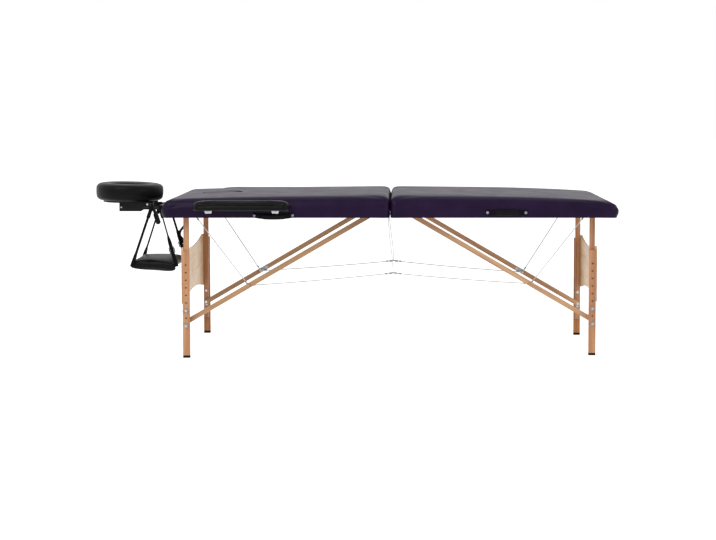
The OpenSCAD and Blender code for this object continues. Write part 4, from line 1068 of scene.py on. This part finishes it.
class MASSAGE_OT_sling(bpy.types.Operator):
    """Hangs the arm shelf from the cradle's posts by four webbing straps"""
    bl_idname = "massage.sling"
    bl_label = "Arm sling"

    def execute(self, context):
        straps, seams = [], []
        for side in (-1, 1):
            # The straps stand turned between post and shelf, two of them nearly edge on to the camera
            for top_x, foot_x, turn in ((980, 909, 1.0 if side < 0 else 0.75), (1017, 1100, 0.7 if side < 0 else 0.95)):
                path, across = self.hang(side, top_x, foot_x, turn)
                straps.append(strip("strap", path, across, STRAP_WIDTH, 1.6 * MM))
                seams += self.box(path, across, side)
        # The loose end of the far strap curls out of its buckle
        curl = curved([(row(x, "head"), y * MM, z * MM) for x, y, z in
                       ((932, 126, 434), (923, 129, 441), (929, 132, 453), (938, 133, 466), (935, 133, 482),
                        (925, 132, 496), (916, 131, 507))], 8)
        straps.append(strip("curl", curl, (0.7, 0.7, 0), STRAP_WIDTH, 1.5 * MM))
        piece = put("sling_webbing", joined("webbing", straps), "cradle", "black webbing")
        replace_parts(piece, "sling_straps")
        stitched("sling_stitches", seams, "cradle", radius=0.00035)
        buckles = joined("buckles", [self.buckle(side, 980, 909) for side in (-1, 1)])
        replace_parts(put("ladder_buckles", buckles, "cradle", "black nylon"), "sling_buckles")
        return {"FINISHED"}

    def buckle(self, side, top_x, foot_x):
        """A ladder buckle: two side rails and four rounded bars that the webbing is threaded through."""
        top, foot = self.strap_ends(side, top_x, foot_x)
        along = (foot - top).normalized()
        across = along.cross(Vector((0, 1, 0))).normalized()
        out = across.cross(along) * (1 if across.cross(along).y * side > 0 else -1)
        middle = top + (foot - top) * 0.72 + out * 0.8 * MM
        parts = []
        half_w, half_l = STRAP_WIDTH / 2 + 2.6 * MM, 13 * MM
        for s in (-1, 1):
            path = [middle + across * s * half_w + along * t * half_l - out * 1.2 * MM * t * t
                    for t in (-1, -0.6, -0.2, 0.2, 0.6, 1)]
            parts.append(tube("rail", path, 1.9 * MM, 8, radii=[1.3 * MM, 1.9 * MM, 1.9 * MM, 1.9 * MM, 1.9 * MM, 1.3 * MM]))
        for t, rise in ((-0.92, 1.6), (-0.34, 2.4), (0.3, 1.4), (0.9, 2.2)):
            path = [middle + across * s * half_w + along * t * half_l + out * (rise * (1 - s * s) - 1.2 * t * t) * MM
                    for s in (-1, -0.7, -0.3, 0.3, 0.7, 1)]
            parts.append(tube("bar", path, 1.5 * MM, 8))
        return joined("buckle", parts)

    def strap_ends(self, side, top_x, foot_x):
        return (Vector((row(top_x, "head"), side * 114.4 * MM, 606 * MM)),
                Vector((row(foot_x, "head"), side * 130 * MM, 356.7 * MM)))

    def hang(self, side, top_x, foot_x, turn):
        """The strap's path from its folded end, round the post and down to the shelf's corner."""
        post_y, post_z, r = 105 * MM, 606 * MM, 9.4 * MM
        start, foot = self.strap_ends(side, top_x, foot_x)
        down = foot - start
        path, across = [], []
        flat = down.cross(Vector((0, 1, 0))).normalized()
        if flat.x < 0:
            flat = -flat
        for t in (0.17, 0.13, 0.09, 0.055):
            path.append(start + down * t - Vector((0, side * 2.0 * MM, 0)))
            across.append(flat)
        for a in (238, 210, 180, 150, 120, 90, 60, 30, 0):
            path.append(Vector((start.x, side * (post_y + r * math.cos(math.radians(a))),
                                post_z + r * math.sin(math.radians(a)))))
            across.append(Vector((1, 0, 0)))
        steps = 26
        for k in range(1, steps + 1):
            t = k / steps
            ends = 0.6 if foot_x < 1000 else 0.9
            twist = turn * min(1, max(0, t / 0.16)) * min(1, max(0, (ends - t) / 0.14))
            bow = 1.6 * MM * math.sin(math.pi * t)
            path.append(start + down * t + Vector((0, side * bow, 0)))
            across.append(Matrix.Rotation(twist, 3, down.normalized()) @ flat)
        return path, across

    def box(self, path, across, side):
        """A box stitch with a cross through both layers of the folded end."""
        low, high = path[0], path[3]
        face = Vector((0, side * 1.0 * MM, 0))
        wide = across[0] * 0.4 * STRAP_WIDTH
        out = []
        for offset in (Vector((0, side * 2.9 * MM, 0)), Vector((0, -side * 0.9 * MM, 0))):
            a, b = low - wide + offset, low + wide + offset
            c, d = high * 0.8 + low * 0.2 + wide + offset, high * 0.8 + low * 0.2 - wide + offset
            out += [[a, b, c, d, a], [a, c], [b, d]]
        return out


class MASSAGE_OT_handles(bpy.types.Operator):
    """Makes the two carry handles, with their grips and domed studs"""
    bl_idname = "massage.handles"
    bl_label = "Carry handles"

    def execute(self, context):
        for end, height, sag in (("head", 597, 9), ("foot", 605, 0)):
            middle = row(476, end)
            straps, grips, lines = [], [], []

            def place(s, out=0.0):
                lift = max(0, 1 - s * s) ** 0.6
                return Vector((middle + s * 84 * MM, -(351.3 + 10.5 * lift) * MM - out,
                               (height - sag * lift) * MM))

            path = [place(-1 + 2 * i / 48) for i in range(49)]
            straps.append(strip("strap", path, (0, 0, 1), 20 * MM, 1.9 * MM))
            for s in (-1, 1):
                # The end is folded under once and stitched
                fold = [place(s * t, 1.7 * MM) for t in (0.99, 0.9, 0.82, 0.76)]
                straps.append(strip("fold", fold, (0, 0, 1), 19.4 * MM, 1.6 * MM))
            piece = put(end + "_carry_strap", joined("straps", straps), end + "_half",
                        "dark webbing")
            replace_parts(piece, end + "_handle")
            self.grip(end, place)
            for s in (-1, 1):
                for t in (0.775, 0.74, 0.63):
                    x = place(s * t, 2.7 * MM if t > 0.7 else 1.15 * MM)
                    lines.append([x + Vector((0, 0, z * MM)) for z in (-8.4, 0, 8.4)])
            stitched(end + "_handle_stitches", lines, end + "_half", radius=0.0004, pitch=0.0032)
            dome = lathe("stud", [(0, -1.5 * MM), (5.2 * MM, -1.5 * MM), (6.4 * MM, 0), (6.4 * MM, 0.5 * MM),
                                  (5.6 * MM, 1.5 * MM), (3.9 * MM, 2.4 * MM), (1.8 * MM, 2.9 * MM), (0, 3.0 * MM)])
            spots = [(place(s * 78 / 84, 2.2 * MM), (0, -1, 0)) for s in (-1, 1)]
            scattered(end + "_handle_studs", spots, dome, end + "_half", "dark nickel")
        return {"FINISHED"}

    def grip(self, end, place):
        """A rolled grip that wraps the strap's middle."""
        points, faces = [], []
        rings, around = 34, 28
        for i in range(rings + 1):
            s = -0.56 + 1.12 * i / rings
            roll = min(1, (1 - abs(s) / 0.56) / 0.06)
            swell = 0.82 + 0.18 * math.sqrt(max(0.0, roll * (2 - roll))) + 0.015 * math.sin(i * 1.9)
            centre = place(s)
            for k in range(around):
                a = 2 * math.pi * k / around
                y = math.copysign(abs(math.cos(a)) ** 0.8, math.cos(a)) * 4.4 * MM * swell
                z = math.copysign(abs(math.sin(a)) ** 0.8, math.sin(a)) * 11.2 * MM * swell
                points.append((centre.x, centre.y + y, centre.z + z))
        for i in range(rings):
            for k in range(around):
                m = (k + 1) % around
                faces.append((i * around + k, i * around + m, (i + 1) * around + m, (i + 1) * around + k))
        faces.append(tuple(range(around)))
        faces.append(tuple(rings * around + k for k in range(around - 1, -1, -1)))
        mesh = to_mesh("grip", points, faces)
        fix_normals(mesh)
        put(end + "_grip", divided(mesh), end + "_half", "black vinyl")


class MASSAGE_OT_ropes(bpy.types.Operator):
    """Strings the steel ropes between the ends, the knees and the centre"""
    bl_idname = "massage.ropes"
    bl_label = "Steel ropes"

    def execute(self, context):
        radius = context.scene.massage_sizes.rope
        for end in ("head", "foot"):
            self.pair(end, "end", radius)
            self.pair(end, "cross", radius)
        self.hangers(radius)
        return {"FINISHED"}

    def pair(self, end, kind, radius):
        name = end + "_" + kind + "_cables"
        low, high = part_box(name)
        meshes, sleeves = [], []
        y_in, y_out = None, None
        verts = [v.co for v in frame["nodes"][name].data.vertices]
        for side in (-1, 1):
            mine = [v for v in verts if v.y * side > 0]
            bottom = min(v.z for v in mine)
            lower = [v for v in mine if v.z < bottom + 0.004]
            top = max(v.z for v in mine)
            upper = [v for v in mine if v.z > top - 0.004]
            a = sum(lower, Vector()) / len(lower)
            b = sum(upper, Vector()) / len(upper)
            sag = 0.0 if kind == "end" else 0.0035
            line = []
            steps = 28
            for k in range(steps + 1):
                t = k / steps
                line.append(a.lerp(b, t) - Vector((0, 0, sag * 4 * t * (1 - t))))
            meshes.append(tube("rope", line, radius, 10))
            along = (b - a).normalized()
            # Crimped sleeves close the loops at either end
            for spot, way in ((a, along), (b, -along)):
                at = spot + way * 0.017
                profile = [0.6, 1.9, 2.1, 1.9, 2.1, 1.9, 2.1, 1.9, 0.6]
                stops = [at + way * (0.011 * i / (len(profile) - 1)) for i in range(len(profile))]
                sleeves.append(tube("sleeve", stops, 0, 14, radii=[radius * r for r in profile]))
                self.loop(meshes, spot, way, at, radius)
        ropes = joined(name, meshes)
        piece = put(name + "_rope", ropes, end + "_half", "wire rope")
        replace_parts(piece, name)
        crimps = put(name + "_crimps", joined("crimps", sleeves), end + "_half", "dull steel")
        # Slack ropes lie inside their own half, above the other half's rails
        for each in (piece, crimps):
            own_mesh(each)

    def loop(self, meshes, spot, way, at, radius):
        """The eye at a rope's end: out from the sleeve, round the hook and back."""
        side = way.cross(Vector((0, 1, 0))).normalized()
        outline = [at, at - way * 0.006 + side * 0.0022, spot + way * 0.003 + side * 0.0036,
                   spot - way * 0.0006 + side * 0.0018, spot - way * 0.0006 - side * 0.0018,
                   spot + way * 0.003 - side * 0.0036, at - way * 0.006 - side * 0.0022, at]
        meshes.append(tube("eye", curved(outline, 5), radius * 0.85, 8))

    def hangers(self, radius):
        meshes, sleeves = [], []
        verts = [v.co for v in frame["nodes"]["cable_hangers"].data.vertices]
        for side in (-1, 1):
            mine = [v for v in verts if v.y * side > 0]
            bottom, top = min(v.z for v in mine), max(v.z for v in mine)
            low = [v for v in mine if v.z < bottom + 0.0065]
            high = [v for v in mine if v.z > top - 0.001]
            a, b = sum(low, Vector()) / len(low), sum(high, Vector()) / len(high)
            wave = [(t, 0.0016 * math.sin(t * math.pi * 2.2)) for t in [k / 24 for k in range(25)]]
            line = [a.lerp(b, t) + Vector((dx, 0, 0)) for t, dx in wave]
            meshes.append(tube("hanger", line, radius * 0.8, 8))
            profile = [1.5, 2.3, 2.4, 2.2, 2.4, 2.2, 2.4, 2.3, 1.5]
            stops = [a + Vector((-0.0072 + 0.0144 * i / (len(profile) - 1), 0, 0.0002)) for i in range(len(profile))]
            sleeves.append(tube("ferrule", stops, 0, 16, radii=[0.0013 * r for r in profile]))
            flat = [(b.x - 0.0055, b.y, b.z - 0.001), (b.x + 0.0055, b.y, b.z - 0.001)]
            sleeves.append(strip("plate", [(flat[0][0] + 0.011 * i / 6, b.y, b.z - 0.0008 - 0.0004 * (i in (2, 3, 4)))
                                           for i in range(7)], (0, 1, 0), 0.013, 0.0012))
        piece = put("centre_hangers", joined("hangers", meshes), "head_half", "wire rope")
        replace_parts(piece, "cable_hangers")
        crimps = put("centre_ferrules", joined("ferrules", sleeves), "head_half", "dull steel")
        for each in (piece, crimps):
            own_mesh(each)


class MASSAGE_OT_fittings(bpy.types.Operator):
    """Sets the screws and staples"""
    bl_idname = "massage.fittings"
    bl_label = "Screws and staples"

    def execute(self, context):
        radius = context.scene.massage_sizes.screw
        pan = pan_screw(radius, radius * 0.62)
        flat = pan_screw(radius * 1.1, 0.0005)
        for end, out in (("head", -1), ("foot", 1)):
            leg_y = 290.7 if end == "head" else 234.7
            shift = 0 if end == "head" else -56
            panel = [((row(862.5, end), side * leg_y * MM, z * MM), (out, 0, 0))
                     for side in (-1, 1) for z in (236, 304, 373, 442)]
            scattered(end + "_panel_screws", panel, pan, end + "_legs", "zinc plate")
            plates = []
            for side in (-1, 1):
                for x, half, ys in ((842, 16, (272.7, 308.7)), (62, 14, (251.7, 279.7))):
                    plates += [((row(x + s * half, end), side * (y + shift) * MM, 624 * MM), (0, 0, -1))
                               for s in (-1, 1) for y in ys]
            scattered(end + "_bracket_screws", plates, pan, end + "_half", "zinc plate")
            leaves = [((row(x, end), side * y * MM, 583 * MM), (0, 0, -1))
                      for side in (-1, 1) for x, y in ((21, 115), (14, 132.5), (21, 150), (14, 167.5), (21, 185))]
            scattered(end + "_hinge_screws", leaves, flat, end + "_half", "dull steel")
        sides = [((row(x, "head"), side * y * MM, z * MM), (0, side, 0))
                 for side in (-1, 1) for x, y, z in ((1150, 85, 606), (1036, 101, 619))]
        scattered("cradle_screws", sides[:1] + sides[2:3], pan, "cradle_head", "zinc plate")
        scattered("cradle_pivot_caps", sides[1:2] + sides[3:], pan_screw(0.0052, 0.0026), "cradle",
                  "zinc plate")
        for name, side in (("near", -1), ("far", 1)):
            spots = []
            for x in (467.6, 740.1):
                for out in (386, 412):
                    drop = ARMREST_BOARD_LOW - 5 * MM + (out * MM - RISER_Y) * math.tan(math.radians(ARMREST_LEAN))
                    spots.append(((row(x, "head"), side * out * MM, drop), (0, 0.07 * side, -1)))
            scattered(name + "_armrest_screws", spots, pan, name + "_armrest_body", "zinc plate")
        staple = tube("staple", [(-5 * MM, 0, -1.2 * MM), (-5 * MM, 0, 0.1 * MM), (-4.6 * MM, 0, 0.45 * MM),
                                 (4.6 * MM, 0, 0.45 * MM), (5 * MM, 0, 0.1 * MM), (5 * MM, 0, -1.2 * MM)],
                      0.45 * MM, 6)
        for end in ("head", "foot"):
            path, across = self.hem_line(end)
            hem = strip("hem", path, across, 17 * MM, 0.7 * MM)
            put(end + "_hem", hem, end + "_half", "aubergine vinyl")
            spots, gone = [], 0.0
            for before, at in zip(path, path[1:]):
                gone += (at - before).length
                if gone > 0.034:
                    gone = 0.0
                    spots.append((at - Vector((0, 0, 0.35 * MM)), (0, 0, -1)))
            scattered(end + "_staples", spots, staple, end + "_half", "zinc plate", turn=0.5)
        return {"FINISHED"}


    def hem_line(self, end):
        """The line of the turned-under hem: along both sides and round the outer end, clear of the hinges."""
        low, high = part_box(end + "_skirt")
        away = -1 if end == "head" else 1
        outer = low.x if away < 0 else high.x
        inset, r = 0.0115, END_RADIUS
        points, across = [], []
        gap_x = outer - away * 0.885
        straight = 48
        for k in range(straight):
            t = k / straight
            points.append(Vector((gap_x + (outer - away * r - gap_x) * t, low.y + inset, 0)))
            across.append((0, -1, 0))
        for cy, turn in ((low.y + r, -90), (high.y - r, 0)):
            for k in range(9):
                a = math.radians(turn + 90 * k / 8)
                n = Vector((away * math.cos(a), math.sin(a), 0))
                points.append(Vector((outer - away * r, cy, 0)) + n * (r - inset))
                across.append(tuple(n))
            if turn < 0:
                for k in range(1, 24):
                    y = low.y + r + (high.y - low.y - 2 * r) * k / 24
                    points.append(Vector((outer - away * inset, y, 0)))
                    across.append((away, 0, 0))
        for k in range(1, straight + 1):
            t = k / straight
            points.append(Vector((outer - away * r + (gap_x - outer + away * r) * t, high.y - inset, 0)))
            across.append((0, 1, 0))
        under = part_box(end + "_frame")[0].z
        return [p + Vector((0, 0, under - 0.0002 - 0.00012 * math.sin(i * 1.7))) for i, p in enumerate(points)], across


class MASSAGE_OT_stage(bpy.types.Operator):
    """Sets the floor, the soft light and the camera at the photograph's place"""
    bl_idname = "massage.stage"
    bl_label = "Stage"

    def seen(self, tree):
        """1 for rays from the camera and for those that gloss and glass send out, otherwise 0."""
        rays = add(tree, "ShaderNodeLightPath").outputs
        either = add(tree, "ShaderNodeMath", {0: rays["Is Camera Ray"], 1: rays["Is Glossy Ray"]}, operation="MAXIMUM")
        return add(tree, "ShaderNodeMath", {0: either.outputs[0], 1: rays["Is Transmission Ray"]},
                   operation="MAXIMUM").outputs[0]

    def execute(self, context):
        scene = context.scene
        scene.view_settings.view_transform = "Standard"
        made, tree, shader, _ = surface("paper floor", **{"Roughness": 0.9})
        shader.inputs["Base Color"].default_value = linear("#f4f4f4")
        lit = add(tree, "ShaderNodeMath", {0: self.seen(tree), 1: 0.62}, operation="MULTIPLY")
        tree.links.new(lit.outputs[0], shader.inputs["Emission Strength"])
        shader.inputs["Emission Color"].default_value = (1, 1, 1, 1)
        floor = bpy.data.objects.new("floor", to_mesh("floor", [(-30, -30, -0.0005), (30, -30, -0.0005),
                                                                (30, 30, -0.0005), (-30, 30, -0.0005)], [(0, 1, 2, 3)]))
        floor.data.materials.append(made)
        scene.collection.objects.link(floor)

        world = bpy.data.worlds.new("studio")
        world.use_nodes = True
        tree = world.node_tree
        tree.nodes.clear()
        # The camera, gloss and glass see white paper, and diffuse light stays at a plain level
        seen = self.seen(tree)
        level = add(tree, "ShaderNodeMix", {0: seen, 2: 0.62, 3: 1.0})
        sky = add(tree, "ShaderNodeBackground", {"Color": (1, 1, 1, 1), "Strength": level.outputs[0]})
        add(tree, "ShaderNodeOutputWorld", {"Surface": sky.outputs[0]})
        scene.world = world

        for name, place, aim, size, power in (("key", (-2.2, -3.0, 3.4), (0, 0, 0.5), 2.6, 95),
                                              ("fill", (3.2, -2.4, 2.2), (0.2, 0, 0.4), 2.8, 40)):
            data = bpy.data.lights.new(name, "AREA")
            data.size = size
            data.energy = power
            lamp = bpy.data.objects.new(name, data)
            lamp.location = place
            lamp.rotation_euler = (Vector(aim) - Vector(place)).to_track_quat("-Z", "Y").to_euler()
            scene.collection.objects.link(lamp)

        data = bpy.data.cameras.new("camera")
        data.sensor_width = 36
        data.lens = CAMERA_FOCAL / 716 * 36
        camera = bpy.data.objects.new("camera", data)
        pitch = math.radians(CAMERA_PITCH)
        # Half of the framing is the camera's tilt and half is shift, so that other views stay nearly centred
        turned = CAMERA_FOCAL * math.tan(pitch)
        data.shift_x = -(400.8 - 358) / 716
        data.shift_y = -(171 - turned) / 716
        camera.location = (HINGE_X + 0.044, -CAMERA_FAR, 1.068)
        camera.rotation_euler = (math.radians(90) - pitch, 0, 0)
        scene.collection.objects.link(camera)
        scene.camera = camera
        return {"FINISHED"}


CAMERA_FOCAL = 1388
CAMERA_FAR = 6.0
CAMERA_PITCH = 3.5

OPERATORS = [MASSAGE_OT_finishes, MASSAGE_OT_covers, MASSAGE_OT_cushions, MASSAGE_OT_sling, MASSAGE_OT_handles,
             MASSAGE_OT_ropes, MASSAGE_OT_fittings, MASSAGE_OT_stage]


class MASSAGE_PT_panel(bpy.types.Panel):
    """Lists the steps that dress the table"""
    bl_label = "Massage table"
    bl_idname = "MASSAGE_PT_panel"
    bl_space_type = "VIEW_3D"
    bl_region_type = "UI"
    bl_category = "Massage table"

    def draw(self, context):
        for step in OPERATORS:
            self.layout.operator(step.bl_idname)
        for group in (context.scene.massage_sizes, context.scene.massage_colours):
            for name in group.bl_rna.properties.keys():
                if name not in ("rna_type", "name"):
                    self.layout.prop(group, name)


CLASSES = [TableSizes, TableColours, *OPERATORS, MASSAGE_PT_panel]


def register():
    for each in CLASSES:
        bpy.utils.register_class(each)
    bpy.types.Scene.massage_sizes = bpy.props.PointerProperty(type=TableSizes)
    bpy.types.Scene.massage_colours = bpy.props.PointerProperty(type=TableColours)


def unregister():
    del bpy.types.Scene.massage_colours
    del bpy.types.Scene.massage_sizes
    for each in reversed(CLASSES):
        bpy.utils.unregister_class(each)


def main():
    register()
    for step in OPERATORS:
        group, name = step.bl_idname.split(".")
        getattr(getattr(bpy.ops, group), name)()
    bpy.context.view_layer.update()


if __name__ == "__main__":
    main()
